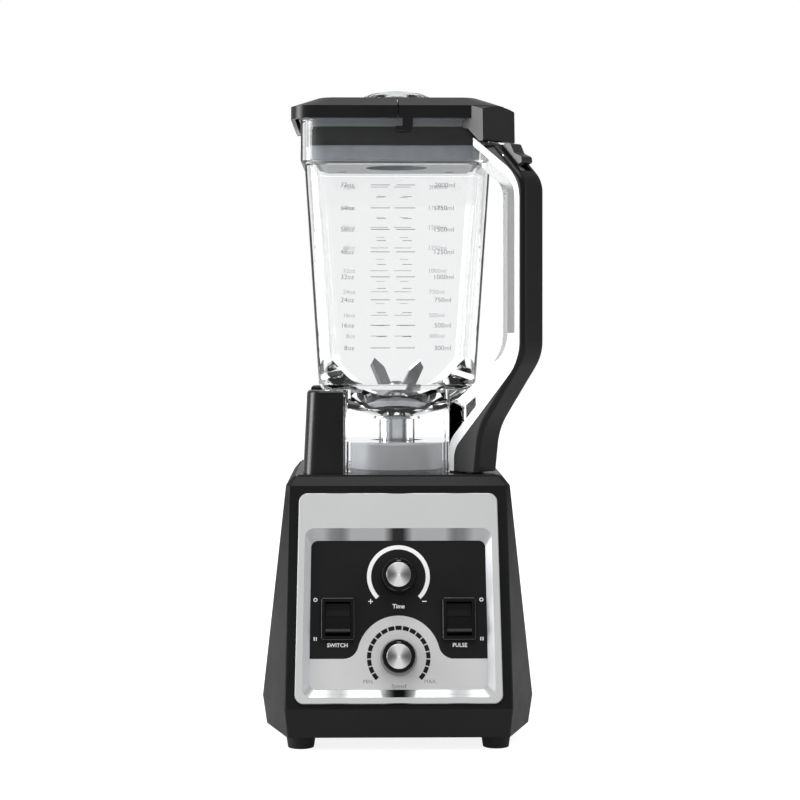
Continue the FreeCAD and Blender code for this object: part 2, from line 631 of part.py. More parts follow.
def make_jug_deck():
    """The seat plate with posts at three corners. The fourth corner is left free for the foot of the grip."""
    gap = value("gap")
    inset = value("deck_bevel") + 1.5
    half = value("top_half") - inset
    solid = lofted(square(half, 4.0, DECK), square(half, 4.0, SEAT))
    low, high = value("post_low"), value("post_high")
    posts = lofted(square(low, value("post_round"), SEAT),
                   square(high, value("post_round"), DECK + value("post_rise")))
    inner = value("post_inner")
    for sx, sy in ((-1, -1), (-1, 1), (1, 1)):
        corner = block(min(sx * inner, sx * 90), max(sx * inner, sx * 90), min(sy * inner, sy * 90),
                       max(sy * inner, sy * 90), SEAT, DECK + 100)
        post = posts.common(corner)
        top_edges = [edge for edge in post.Edges if edge.BoundBox.ZMin > DECK + value("post_rise") - 0.01]
        solid = solid.fuse(post.makeFillet(2.0, top_edges))
    return feature("jug_deck", solid.cut(drum(value("shaft_radius") + 3 * gap, DECK - 1, SEAT + 1)))


def make_drive_pedestal():
    """A round pedestal that reaches up into the jug's skirt, with a well for the drive socket."""
    profile = [("pedestal_well", "0"), ("pedestal_radius", "0"), ("pedestal_radius", "pedestal_rise - 1.5"),
               ("pedestal_radius - 1.5", "pedestal_rise"), ("pedestal_well + 1", "pedestal_rise"),
               ("pedestal_well", "pedestal_rise - 1")]
    return turned("drive_pedestal", profile, ("0", "0", "seat"))


# ---------------------------------------------------------------- control panel
def panel_hole(radius, up, low=-40.0, high=20.0, side=0.0):
    """A round tool through the panel."""
    return Part.makeCylinder(radius, high - low, Vector(side, up, low))


def collar_tool(side, margin):
    """The room that a switch frame's collar takes in the panel."""
    wide = value("window_wide") / 2 + value("collar_wall") + margin
    tall = value("window_tall") / 2 + value("collar_wall") + margin
    up = value("switch_up")
    return block(side - wide, side + wide, up - tall, up + tall, -40, 5)


def make_panel_bezel():
    """The bright plate with a bevelled recess, and the tub behind it that carries the label."""
    proud, depth = value("bezel_proud"), value("label_depth")
    back = -depth - value("label_thick") - value("tub_floor")
    plate = rounded_plate(value("bezel_half_low"), value("bezel_half_high"), value("bezel_low"),
                          value("bezel_high"), value("bezel_round"), 0, proud)
    rim = [edge for edge in plate.Edges if edge.BoundBox.ZMin > proud - 0.01]
    plate = plate.makeFillet(0.9, rim)
    tub = rounded_plate(value("tub_half"), value("tub_half"), value("tub_low"), value("tub_high"),
                        value("label_round"), back, 0)
    outer = [(-value("recess_half_low"), value("recess_low"), 7.0),
             (value("recess_half_low"), value("recess_low"), 7.0),
             (value("recess_half_high"), value("recess_high"), 7.0),
             (-value("recess_half_high"), value("recess_high"), 7.0)]
    fit = value("fit")
    low, high = value("label_low") - fit, value("label_high") + fit
    inner = [(-value("label_half_low") - fit, low, value("label_round")),
             (value("label_half_low") + fit, low, value("label_round")),
             (value("label_half_high") + fit, high, value("label_round")),
             (-value("label_half_high") - fit, high, value("label_round"))]
    recess = lofted(rounded_wire(inner, -depth), rounded_wire(outer, proud))
    thick = value("label_thick")
    pocket = Part.Face(rounded_wire(inner, -depth - thick)).extrude(Vector(0, 0, thick))
    shape = plate.fuse(tub).cut(recess).cut(pocket)
    for up in (value("time_up"), value("speed_up")):
        shape = shape.cut(panel_hole(value("stem_radius") + 1.5, up))
    for side in (-value("switch_side"), value("switch_side")):
        shape = shape.cut(collar_tool(side, value("fit")))
    return feature("panel_bezel", shape, PANEL)


def label_plate():
    """The label's full area, with its holes."""
    top = -value("label_depth")
    plate = rounded_plate(value("label_half_low"), value("label_half_high"), value("label_low"),
                          value("label_high"), value("label_round") - value("fit"),
                          top - value("label_thick"), top)
    for up in (value("time_up"), value("speed_up")):
        plate = plate.cut(panel_hole(value("stem_radius") + 1.5, up))
    for side in (-value("switch_side"), value("switch_side")):
        plate = plate.cut(collar_tool(side, value("fit")))
    return plate


def silver_zone():
    """The bright lower part of the label: all below an edge, and the disc around the speed knob."""
    arc, high = value("silver_arc"), value("silver_high")
    below = block(-FAR_OUT, FAR_OUT, value("label_low") - 5, high, -6, 0)
    zone = below.fuse(panel_hole(arc, value("speed_up"), -6, 0)).removeSplitter()
    inner_corners = [edge for edge in zone.Edges if edge.BoundBox.ZLength > 5
                     and abs(edge.BoundBox.YMin - high) < 0.01 and abs(abs(edge.BoundBox.XMin) - arc) < 1]
    return zone.makeFillet(value("silver_round"), inner_corners)


def make_labels():
    plate, zone = label_plate(), silver_zone()
    return [feature("label_black", plate.cut(zone), PANEL),
            feature("label_silver", plate.common(zone), PANEL)]


def make_switch_frames():
    """Two frames: a flange on the label, a collar through the panel and holes for the rocker's pivots."""
    top = -value("label_depth")
    solids = []
    for side in (-value("switch_side"), value("switch_side")):
        up = value("switch_up")
        wide, tall = value("frame_wide") / 2, value("frame_tall") / 2
        flange = rounded_plate(wide, wide, up - tall, up + tall, 1.5, top, top + value("frame_proud"))
        rim = [edge for edge in flange.Edges if edge.BoundBox.ZMin > top + value("frame_proud") - 0.01]
        flange = flange.makeFillet(0.8, rim)
        flange.translate(Vector(side, 0, 0))
        wide = value("window_wide") / 2 + value("collar_wall")
        tall = value("window_tall") / 2 + value("collar_wall")
        collar = block(side - wide, side + wide, up - tall, up + tall, -value("collar_depth"), top)
        wide, tall = value("window_wide") / 2, value("window_tall") / 2
        window = block(side - wide, side + wide, up - tall, up + tall, -40, 5)
        pivot = Part.makeCylinder(value("pivot_radius") + value("fit"), 40,
                                  Vector(side - 20, up, -value("pivot_depth")), Vector(1, 0, 0))
        solids.append(flange.fuse(collar).cut(window).cut(pivot).removeSplitter())
    return feature("switch_frames", Part.makeCompound(solids), PANEL)


def make_rocker(name, side):
    """A rocker that pivots on two stubs: its upper end is sunk and its lower half stands out in steps."""
    up, radius, deep = value("switch_up"), value("rocker_radius"), value("pivot_depth")
    half = value("window_wide") / 2 - value("gap")
    steps = [(-radius, 3.3), (-radius * 0.42, 3.3), (-radius * 0.42, 2.0), (0.8, 2.0), (2.0, 0.6),
             (radius * 0.5, -0.6),
             (radius, -1.6), (radius, -deep - 1), (5, -deep - 3), (-5, -deep - 3), (-radius, -deep - 1)]
    points = [Vector(-half, up + y, z) for y, z in steps]
    body = Part.Face(Part.makePolygon(points + points[:1])).extrude(Vector(2 * half, 0, 0))
    body = body.common(Part.makeCylinder(radius, 2 * half, Vector(-half, up, -deep), Vector(1, 0, 0)))
    reach = value("window_wide") / 2 + value("collar_wall") - value("gap")
    stub = Part.makeCylinder(value("pivot_radius"), 2 * reach, Vector(-reach, up, -deep), Vector(1, 0, 0))
    return feature(name, body.fuse(stub), PANEL.multiply(Placement(Vector(side, 0, 0), Rotation())))


def make_knob(name, up):
    """A tapered knob with a stem, a pointer notch and a seat for its cap, and the metal cap."""
    low = "-label_depth + gap"
    seat = "knob_front - 3"
    profile = [("0", "-label_depth - stem_length"), ("stem_radius", "-label_depth - stem_length"),
               ("stem_radius", low), ("knob_radius", low), ("knob_radius", "4"),
               ("knob_top + 0.6", "knob_front - 0.8"),
               ("knob_top", "knob_front"), ("knob_cap + fit", "knob_front"), ("knob_cap + fit", seat),
               ("0", seat)]
    skirt = turned(name + "_skirt", profile)
    notch = slab(name + "_notch", "1.2", "4", "3", ("0", "knob_top", "knob_front - 0.6"))
    knob = cut(name, skirt, notch)
    cap = turned(name + "_cap", [("0", seat), ("knob_cap", seat),
                                 ("knob_cap", "knob_front + cap_proud - 0.5"),
                                 ("knob_cap - 0.5", "knob_front + cap_proud"),
                                 ("0", "knob_front + cap_proud - 0.35")])
    centre = PANEL.multVec(Vector(0, value(up), 0))
    for item in (knob, cap):
        item.Placement = Placement(centre, PANEL.Rotation)
    return [knob, cap]


def make_potentiometer(name, up):
    """A round body behind the panel that carries the knob's stem."""
    back = -value("label_depth") - value("label_thick") - value("tub_floor")
    low = back - value("pot_depth")
    body = panel_hole(value("pot_radius"), value(up), low, back)
    bore = panel_hole(value("stem_radius") + value("fit"), value(up),
                      -value("label_depth") - value("stem_length") - 0.5, 0)
    return feature(name, body.cut(bore), PANEL)


def make_switch_bodies():
    """A box behind each switch frame, with three blade terminals."""
    solids = []
    for side in (-value("switch_side"), value("switch_side")):
        wide, tall, up = value("window_wide") / 2, value("window_tall") / 2, value("switch_up")
        top = -value("collar_depth")
        low = top - value("switch_body")
        box = block(side - wide, side + wide, up - tall, up + tall, low, top)
        for number in (-1, 0, 1):
            box = box.fuse(block(side - 2.4, side + 2.4, up + number * 8 - 0.4, up + number * 8 + 0.4,
                                 low - 7, low))
        solids.append(box)
    return feature("switch_bodies", Part.makeCompound(solids), PANEL)


def make_control_board():
    """A circuit board on the backs of the potentiometers, with a capacitor and a heat sink."""
    top = -value("label_depth") - value("label_thick") - value("tub_floor") - value("pot_depth")
    low = top - value("board_thick")
    middle = (value("time_up") + value("speed_up")) / 2
    half, tall = value("board_half"), value("board_tall") / 2
    board = block(-half, half, middle - tall, middle + tall, low, top)
    board = board.fuse(Part.makeCylinder(5, 16, Vector(-16, middle - 30, low - 16)))
    board = board.fuse(block(10, 24, middle + 28, middle + 31, low - 9, low))
    return feature("control_board", board, PANEL)


# ---------------------------------------------------------------- motor
def stay_spots():
    """Four stays between the motor's brackets, on the diagonals."""
    spot = value("stay_ring") * math.sqrt(0.5)
    return four_corners(spot, spot)


def make_motor():
    """Brackets, stays, bearings, stator and coils, hung from the deck on rubber mounts."""
    fit = value("fit")
    low_plate = value("low_bearing") + 2
    high_plate = value("high_bearing") + 2
    thick, radius = value("bracket_thick"), value("bracket_radius")
    bore = value("bearing_radius") + fit
    height = value("bearing_height")
    top = drum(radius, high_plate, high_plate + thick)
    top = top.fuse(drum(bore + 3, value("high_bearing"), high_plate + thick))
    top = top.cut(drum(bore, 0, value("high_bearing") + height))
    top = top.cut(drum(value("shaft_radius") + 1, FAR_LOW, FAR_HIGH))
    low = drum(bore + 3, value("low_bearing"), low_plate + thick + 2)
    for x, y in stay_spots():
        arm = block(-6, 6, 0, radius, low_plate, low_plate + thick)
        arm.rotate(Vector(0, 0, 0), Vector(0, 0, 1), math.degrees(math.atan2(y, x)) - 90)
        low = low.fuse(arm)
    low = low.cut(drum(bore, FAR_LOW, FAR_HIGH))
    for x, y in stay_spots():
        low = low.fuse(drum(value("stay_radius"), low_plate, high_plate, x, y))
    brackets = [feature("motor_top_bracket", top), feature("motor_bottom_bracket", low)]
    bearings = []
    for name, spot in (("bottom_bearing", "low_bearing"), ("top_bearing", "high_bearing")):
        profile = [("shaft_radius + fit", "0"), ("bearing_radius", "0"), ("bearing_radius", "bearing_height"),
                   ("shaft_radius + fit", "bearing_height")]
        bearings.append(turned(name, profile, ("0", "0", spot)))
    stator = drum(value("stator_radius"), value("stator_low"), value("stator_low") + value("stator_height"))
    stator = stator.cut(drum(value("stator_bore"), FAR_LOW, FAR_HIGH))
    for quarter in range(4):
        lug = block(-8, 8, value("stator_radius") - 2, value("stator_radius") + 4, value("stator_low"),
                    value("stator_low") + value("stator_height"))
        lug.rotate(Vector(0, 0, 0), Vector(0, 0, 1), 45 + 90 * quarter)
        stator = stator.fuse(lug)
    for x, y in stay_spots():
        stator = stator.cut(drum(value("stay_radius") + fit, FAR_LOW, FAR_HIGH, x, y))
    coils = []
    for low_z in (value("stator_low") - value("coil_height"), value("stator_low") + value("stator_height")):
        ring = drum(value("stator_radius") - 3, low_z, low_z + value("coil_height"))
        ring = ring.cut(drum(value("stator_bore") + 2, FAR_LOW, FAR_HIGH))
        ring = ring.cut(block(-4, 4, -60, 60, FAR_LOW, FAR_HIGH))
        coils += ring.Solids
    dampers = []
    for number, (x, y) in enumerate(stay_spots()):
        low_text = "high_bearing + 2 + bracket_thick"
        dampers.append(cylinder("damper_%d" % (number + 1), "damper_radius",
                                "deck - deck_wall - (%s)" % low_text,
                                ("%d * stay_ring * sqrt(0.5)" % math.copysign(1, x),
                                 "%d * stay_ring * sqrt(0.5)" % math.copysign(1, y), low_text)))
    return brackets + bearings + [feature("motor_stator", stator),
                                  feature("field_coils", Part.makeCompound(coils)),
                                  group("motor_dampers", *dampers)]


def make_brush_holders():
    """Two square tubes on a plate ring, either side of the commutator."""
    middle = value("comm_low") + value("comm_height") / 2
    reach = value("comm_radius") + value("gap")
    ring = drum(value("stator_radius") - 3, middle + 5, middle + 7).cut(drum(reach + 3, FAR_LOW, FAR_HIGH))
    shape = ring
    for sign in (-1, 1):
        low, high = sorted((sign * reach, sign * (reach + 18)))
        shape = shape.fuse(block(low, high, -4, 4, middle - 5, middle + 5))
    for x, y in stay_spots():
        arm = block(-4, 4, 26, value("stay_ring") - value("stay_radius") + 0.5, middle + 5, middle + 7)
        arm.rotate(Vector(0, 0, 0), Vector(0, 0, 1), math.degrees(math.atan2(y, x)) - 90)
        shape = shape.fuse(arm)
    for x, y in stay_spots():
        shape = shape.cut(drum(value("stay_radius"), FAR_LOW, FAR_HIGH, x, y))
    return feature("brush_holders", shape)


def make_fan_shroud():
    """A ring around the fan, held by the stays."""
    low, high = value("fan_low") - 1, value("fan_low") + value("fan_height") + 1
    inner = value("fan_radius") + 1.5
    ring = drum(inner + 2, low, high).cut(drum(inner, FAR_LOW, FAR_HIGH))
    for x, y in stay_spots():
        ring = ring.fuse(drum(value("stay_radius") + 2.5, low, high, x, y))
    ring = ring.cut(drum(inner, FAR_LOW, FAR_HIGH))
    for x, y in stay_spots():
        ring = ring.cut(drum(value("stay_radius") + value("fit"), FAR_LOW, FAR_HIGH, x, y))
    return feature("fan_shroud", ring)


def make_rotor():
    """Shaft, core, commutator, fan and the drive socket on the shaft's upper end."""
    shaft = cylinder("motor_shaft", "shaft_radius", "driver_low - 2 * gap - shaft_low",
                     ("0", "0", "shaft_low"))
    core = turned("rotor_core", [("shaft_radius + fit", "0"), ("rotor_radius", "0"),
                                 ("rotor_radius", "stator_height - 2"),
                                 ("shaft_radius + fit", "stator_height - 2")],
                  ("0", "0", "stator_low + 1"))
    commutator = turned("commutator", [("shaft_radius + fit", "0"), ("comm_radius", "0"),
                                       ("comm_radius", "comm_height"), ("shaft_radius + fit", "comm_height")],
                        ("0", "0", "comm_low"))
    low, high = value("fan_low"), value("fan_low") + value("fan_height")
    fan = drum(value("fan_radius"), high - 1.5, high).fuse(drum(9, low, high))
    blades = 9
    for number in range(blades):
        blade = block(8, value("fan_radius") - 1, -0.9, 0.9, low, high - 1)
        blade.rotate(Vector(0, 0, 0), Vector(0, 0, 1), 360.0 / blades * number)
        fan = fan.fuse(blade)
    fan = fan.cut(drum(value("shaft_radius") + value("fit"), FAR_LOW, FAR_HIGH))
    body = turned("socket_body", [("shaft_radius + fit", "0"), ("socket_radius", "0"),
                                  ("socket_radius", "socket_high - socket_low - 1"),
                                  ("socket_radius - 1", "socket_high - socket_low"),
                                  ("shaft_radius + fit", "socket_high - socket_low")],
                  ("0", "0", "socket_low"))
    well = hexagon("socket_well", "driver_across + gap * 1.5", "20", ("0", "0", "driver_low - gap"))
    return [shaft, core, commutator, feature("cooling_fan", fan), cut("drive_socket", body, well)]


# ---------------------------------------------------------------- jug
def plus_shape(half, arm, low, high):
    """Two crossed slabs: the skirt between the corner posts."""
    return block(-half, half, -arm, arm, low, high).fuse(block(-arm, arm, -half, half, low, high))


def jug_outside():
    """The jug's outer form, without its spout."""
    rise, shoulder = value("jug_round"), value("jug_shoulder")
    body = lofted(square(value("jug_low_half") - 2.5, rise - 2, value("skirt_top")),
                  square(value("jug_low_half"), rise, value("jug_low")))
    body = body.fuse(lofted(square(value("jug_low_half"), rise, value("jug_low")),
                            square(value("jug_half"), rise, shoulder)))
    collar = shoulder + value("shoulder_rise")
    body = body.fuse(lofted(square(value("jug_half"), rise, shoulder),
                            square(value("collar_half"), rise, collar)))
    body = body.fuse(lofted(square(value("collar_half"), rise, collar),
                            square(value("collar_half"), rise, value("rim_height"))))
    skirt = plus_shape(value("skirt_half"), value("skirt_arm"), SKIRT_LOW, value("skirt_top") + 2)
    upright = [edge for edge in skirt.Edges if edge.BoundBox.ZLength > 10 and
               max(abs(edge.BoundBox.XMax), abs(edge.BoundBox.YMax)) > value("skirt_half") - 0.01 or
               edge.BoundBox.ZLength > 10 and
               min(edge.BoundBox.XMin, edge.BoundBox.YMin) < -value("skirt_half") + 0.01]
    return body.fuse(skirt.makeFillet(3.0, upright))


def dished_floor():
    """All the room above the dish: half of an ellipsoid about the axis, and open above its brim."""
    low, brim = value("bowl_low"), value("bowl_brim")
    middle = Vector(0, 0, brim)
    ends = sorted([Vector(value("bowl_radius"), 0, brim), Vector(0, 0, low)], key=middle.distanceToPoint)
    oval = Part.Face(Part.Wire(Part.Ellipse(ends[1], ends[0], middle).toShape()))
    half = oval.common(block(0, FAR_OUT, -1, 1, FAR_LOW, FAR_HIGH)).Faces[0]
    dish = half.revolve(Vector(0, 0, 0), Vector(0, 0, 1), 360)
    return dish.fuse(block(-FAR_OUT, FAR_OUT, -FAR_OUT, FAR_OUT, brim, FAR_HIGH))


def make_jug_body(outside):
    """Walls, thick round floor with the hole for the bearing housing, hollow skirt and spout lip."""
    wall, rise, shoulder = value("jug_wall"), value("jug_round") - value("jug_wall"), value("jug_shoulder")
    slope = (value("jug_half") - value("jug_low_half")) / (shoulder - value("jug_low"))
    bottom = value("floor_under") + 2
    low_half = value("jug_low_half") - wall - slope * (value("jug_low") - bottom) - 1
    room = lofted(square(low_half, rise, bottom), square(value("jug_half") - wall, rise, shoulder))
    room = room.common(dished_floor())
    ledge = value("skirt_top") + wall
    cross = plus_shape(value("skirt_half") - wall, value("skirt_arm") - wall, SKIRT_LOW, ledge)
    room = room.common(cross.fuse(block(-FAR_OUT, FAR_OUT, -FAR_OUT, FAR_OUT, ledge, FAR_HIGH)))
    collar = shoulder + value("shoulder_rise")
    mouth = lofted(square(value("jug_half") - wall, rise, shoulder),
                   square(value("collar_half") - wall, rise, collar))
    mouth = mouth.fuse(lofted(square(value("collar_half") - wall, rise, collar),
                              square(value("collar_half") - wall, rise, value("rim_height") + 5)))
    reach, half = value("spout_reach"), value("spout_half")
    inner = value("collar_half") * math.sqrt(2) - 12
    lip = side_extrusion([(-inner, value("rim_height"), 0), (-reach, value("rim_height"), 1.0),
                          (-reach + 1.2, value("rim_height") - 3.0, 1.0),
                          (-inner, value("spout_low") - 6, 0)], half)
    lip.Placement = GRIP
    shape = outside.fuse(lip).cut(room).cut(mouth)
    under = plus_shape(value("skirt_half") - wall, value("skirt_arm") - wall, SKIRT_LOW - 1,
                       value("floor_under"))
    shape = shape.cut(under)
    flat = value("hub_floor")
    shape = shape.cut(drum(value("flange_radius") + value("gap"), flat, flat + 20))
    return feature("jug_body", shape.cut(drum(value("barrel_radius") + value("fit"), DECK, flat + 1)))


def corner(face, out, rise, radius=0.0):
    """A corner in the grip's plane: out from a named face, a rise above the seat, and its rounding."""
    return value(face) + out, SEAT + rise, radius


def grip_outlines():
    """Corners (out, up, rounding) of the clear core, the bright trim strip and the dark grip."""
    foot = value("grip_foot_rise")
    upper_core = [corner("grip_inner", -60.8, 266.4), corner("trim_inner", 0, 216.6, 24.6)]
    lower_core = [corner("trim_inner", 0, 89.0, 40.0), corner("foot_core_out", 0, 22.8, 24.0),
                  corner("foot_core_out", 0, foot)]
    upper_trim = [corner("grip_inner", -60.8, 273.0), corner("trim_outer", 0, 219.4, 30.0)]
    lower_trim = [corner("trim_outer", 0, 85.2, 36.0), corner("foot_trim_out", 0, 17.8, 19.0),
                  corner("foot_trim_out", 0, foot)]
    core = upper_core + lower_core + [corner("skirt_corner", -5.7, foot), corner("skirt_corner", -5.7, 37.4),
                                      corner("grip_inner", -32.8, 64.2, 40.0),
                                      corner("grip_inner", 0, 91.0, 30.0),
                                      corner("grip_inner", 0, 212.8, 13.0),
                                      corner("grip_inner", -60.8, 255.8)]
    trim = upper_trim + lower_trim + lower_core[::-1] + upper_core[::-1]
    top = value("grip_top_rise")
    grip = [corner("grip_outer", -42.1, top), corner("grip_outer", -27.4, top, 3.0),
            corner("grip_outer", 0, 217.3, 20.0), corner("grip_outer", 0, 89.1, 30.0),
            corner("grip_outer", -41.9, 33.6, 45.0), corner("foot_grip_out", 0, foot)]
    return core, trim, grip + lower_trim[::-1] + [corner("trim_outer", 0, 219.4, 30.0)]


# Corners about the lever's pin: (out, up, rounding).
LEVER_OUTLINE = [(-4.7, 4.2, 1.5), (-2.9, 10.2, 2.4), (3.1, 9.4, 2.4), (6.7, 2.2, 3.0), (13.7, -0.8, 2.2),
                 (14.3, -5.0, 1.6), (9.5, -6.6, 1.6), (1.0, -2.4, 1.2), (-3.1, -0.4, 0.8)]
LEVER_ROOM = [(-5.7, 14.8, 0), (-5.7, -1.2, 0), (-2.5, -3.2, 0), (9.5, -12.2, 0), (17.5, -10.2, 0),
              (22.5, 14.8, 0)]


def about_pin(outline):
    """An outline about the lever's pin, moved to where the pin is."""
    return [(value("lever_pin_out") + out, value("lever_pin_up") + up, radius) for out, up, radius in outline]


def make_handle(outside):
    """Clear core, trim strip, dark grip, the lever's pin and the thumb lever."""
    core_line, trim_line, grip_line = grip_outlines()
    half = value("grip_half")
    core = side_extrusion(core_line, half)
    core.Placement = GRIP
    trim = side_extrusion(trim_line, half)
    trim.Placement = GRIP
    core = max(core.cut(outside).Solids, key=lambda solid: solid.Volume)
    trim = max(trim.cut(outside).Solids, key=lambda solid: solid.Volume)
    grip = side_extrusion(grip_line, half)
    outer_edges = [edge for edge in grip.Edges if abs(abs(edge.BoundBox.ZMin) - half) < 0.01
                   and edge.BoundBox.ZLength < 0.01 and edge.BoundBox.XMin > value("trim_outer") + 1]
    grip = grip.makeFillet(value("grip_round"), outer_edges)
    room = side_extrusion(about_pin(LEVER_ROOM), value("lever_half") + value("gap"))
    trim_shape = side_extrusion(trim_line, half + 5)
    grip = grip.cut(room)
    pin_at = Vector(value("lever_pin_out"), value("lever_pin_up"), -half + 0.8)
    pin_length = 2 * (half - 0.8)
    grip = grip.cut(Part.makeCylinder(value("lever_pin") + value("fit"), pin_length, pin_at))
    pin = Part.makeCylinder(value("lever_pin"), pin_length, pin_at)
    lever = side_extrusion(about_pin(LEVER_OUTLINE), value("lever_half"))
    lever = lever.cut(Part.makeCylinder(value("lever_pin") + value("fit"), 60, pin_at + Vector(0, 0, -10)))
    grip = grip.cut(trim_shape)
    return [feature("handle_core", core), feature("handle_trim", trim), feature("handle_grip", grip, GRIP),
            feature("lever_pin", pin, GRIP), feature("thumb_lever", lever, GRIP)]


# ---------------------------------------------------------------- blade drive
def make_bearing_housing():
    """Flange on the jug's floor, barrel through it, and a cone that carries the upper bearing."""
    bore = "blade_bearing + fit"
    flange = "hub_floor + seal_thick"
    profile = [(bore, "barrel_low"), ("barrel_radius", "barrel_low"), ("barrel_radius", flange),
               ("flange_radius", flange), ("flange_radius", flange + " + flange_thick"),
               ("barrel_radius", flange + " + flange_thick + 1"), ("cone_radius + 5.5", "cone_low + 4"),
               ("cone_radius", "cone_top"), ("blade_shaft + 0.4", "cone_top"),
               ("blade_shaft + 0.4", "cone_top - 2.6"),
               ("blade_shaft + 0.4", "cone_low + 3"), (bore, "cone_low + 3")]
    return turned("blade_bearing_housing", profile)


def make_drive_rings():
    """Two bearings, the shaft seal above the lower one, the floor seal and the hub nut."""
    rings = []
    ring = [("blade_shaft + fit", "0"), ("blade_bearing", "0"), ("blade_bearing", "blade_bearing_height"),
            ("blade_shaft + fit", "blade_bearing_height")]
    low = turned("low_blade_bearing", ring, ("0", "0", "barrel_low + 3"))
    high = turned("high_blade_bearing", ring, ("0", "0", "cone_low + 3 - blade_bearing_height"))
    rings.append(group("blade_bearings", low, high))
    rings.append(turned("shaft_seal", [("blade_shaft + fit", "0"), ("blade_bearing", "0"),
                                       ("blade_bearing", "2"),
                                       ("blade_shaft + fit", "2")],
                        ("0", "0", "cone_low + 3 - blade_bearing_height - 2")))
    rings.append(turned("jug_floor_seal", [("barrel_radius + fit", "0"), ("flange_radius", "0"),
                                           ("flange_radius", "seal_thick"),
                                           ("barrel_radius + fit", "seal_thick")],
                        ("0", "0", "hub_floor")))
    blank = hexagon("hub_nut_blank", "nut_across", "nut_height", ("0", "0", "floor_under - nut_height"))
    hole = cylinder("hub_nut_hole", "barrel_radius + fit", "nut_height + 2",
                    ("0", "0", "floor_under - nut_height - 1"))
    rings.append(cut("hub_nut", blank, hole))
    return rings


def make_blades():
    """Hub with six blades: two bent well up, two a little up and two down, with sharpened leading edges."""
    low = value("cone_top") + 0.6
    hub = drum(value("hub_radius"), low, low + value("hub_height"))
    middle = low + value("hub_height") / 2
    wide, thick = value("blade_wide"), value("blade_thick")
    bends = [48.0, 20.0, -20.0]
    for number in range(6):
        bend = bends[number % 3]
        root = value("hub_radius") - 3
        elbow = 15.0
        flat = block(root, elbow, -wide / 2, wide / 2, -thick / 2, thick / 2)
        length = (value("blade_reach") - elbow) / math.cos(math.radians(bend))
        outline = [Vector(-1.0, -wide / 2, -thick / 2), Vector(length * 0.72, -wide / 2, -thick / 2),
                   Vector(length, 0, -thick / 2), Vector(length * 0.8, wide / 2, -thick / 2),
                   Vector(-1.0, wide / 2, -thick / 2)]
        tip = Part.Face(Part.makePolygon(outline + outline[:1])).extrude(Vector(0, 0, thick))
        edge = Part.Face(Part.makePolygon([Vector(2, wide / 2 + 1, -thick), Vector(2, wide / 2 + 1, thick),
                                           Vector(2, wide / 2 - 3, thick), Vector(2, wide / 2 + 1, -thick)]))
        tip = tip.cut(edge.extrude(Vector(length, 0, 0)))
        tip.rotate(Vector(0, 0, 0), Vector(0, 1, 0), -bend)
        tip.translate(Vector(elbow, 0, 0))
        blade = flat.fuse(tip)
        blade.rotate(Vector(0, 0, 0), Vector(0, 0, 1), 60.0 * number - 62)
        blade.translate(Vector(0, 0, middle))
        hub = hub.fuse(blade)
    hub = hub.cut(drum(value("blade_shaft") + value("fit"), FAR_LOW, FAR_HIGH))
    return feature("blade_set", hub)


def make_blade_drive():
    """Blade shaft with the nut that holds the blades and the hexagonal driver at its lower end."""
    top = "cone_top + 0.6 + hub_height"
    shaft = cylinder("blade_shaft", "blade_shaft", top + " + 2 - driver_low - 7",
                     ("0", "0", "driver_low + 7"))
    nut_blank = turned("nut_body", [("0", "0"), ("acorn_radius", "0"), ("acorn_radius", "acorn_height - 1.6"),
                                    ("acorn_radius - 2.4", "acorn_height"), ("0", "acorn_height")],
                       ("0", "0", top))
    nut_hole = cylinder("nut_hole", "blade_shaft + fit", "2", ("0", "0", top))
    driver_blank = hexagon("driver_blank", "driver_across", "barrel_low - 1 - driver_low",
                           ("0", "0", "driver_low"))
    driver_hole = cylinder("driver_hole", "blade_shaft + fit", "20", ("0", "0", "driver_low + 7"))
    return [shaft, cut("blade_nut", nut_blank, nut_hole), cut("drive_spline", driver_blank, driver_hole)]


# ---------------------------------------------------------------- lid
def lid_outside():
    """Band and bevel of the lid, with the lobe that reaches over the grip."""
    half, rise = value("lid_half"), value("lid_round")
    band_top = LID_LOW + value("lid_band")
    body = lofted(square(half, rise, LID_LOW), square(half, rise, band_top))
    inset = value("lid_inset")
    body = body.fuse(lofted(square(half, rise, band_top), square(half - inset, rise * 0.7, LID_TOP)))
    reach, low = value("lobe_reach"), value("lobe_low")
    start = (half - inset) * math.sqrt(2) - 28
    wall, side, grow = value("lid_wall"), value("lobe_half"), 14.0
    slope = value("lid_rise") / inset
    lobe = side_extrusion([(start, LID_TOP, 0), (reach - 0.2, LID_TOP, 0), (reach + 0.5, low, 1.0),
                           (reach - 3.5, low, 0), (reach - 14, low + 9.5, 0), (start, LID_LOW, 0)], side)
    hollow = side_extrusion([(start, low - 5, 0), (reach + 0.5 - wall, low - 5, 0),
                             (reach - 0.8 - wall, band_top - 5.0 - wall, 1.0),
                             (start + 18, LID_TOP - wall, 0),
                             (start, LID_TOP - wall, 0)], side - wall)
    lobe.Placement = GRIP
    hollow.Placement = GRIP
    collar = value("collar_half") + 2 * value("gap")
    around = lofted(square(collar, value("jug_round"), low - 10), square(collar, value("jug_round"), LID_LOW))
    under = 0.2
    edge = band_top - grow * slope - under
    skin = lofted(square(half + grow, rise + 6.0, edge), square(half - inset, rise * 0.7, LID_TOP - under))
    skin = skin.fuse(lofted(square(half + grow, rise + 6.0, low - 1), square(half + grow, rise + 6.0, edge)))
    return body.fuse(lobe.common(skin)).cut(hollow).cut(around)


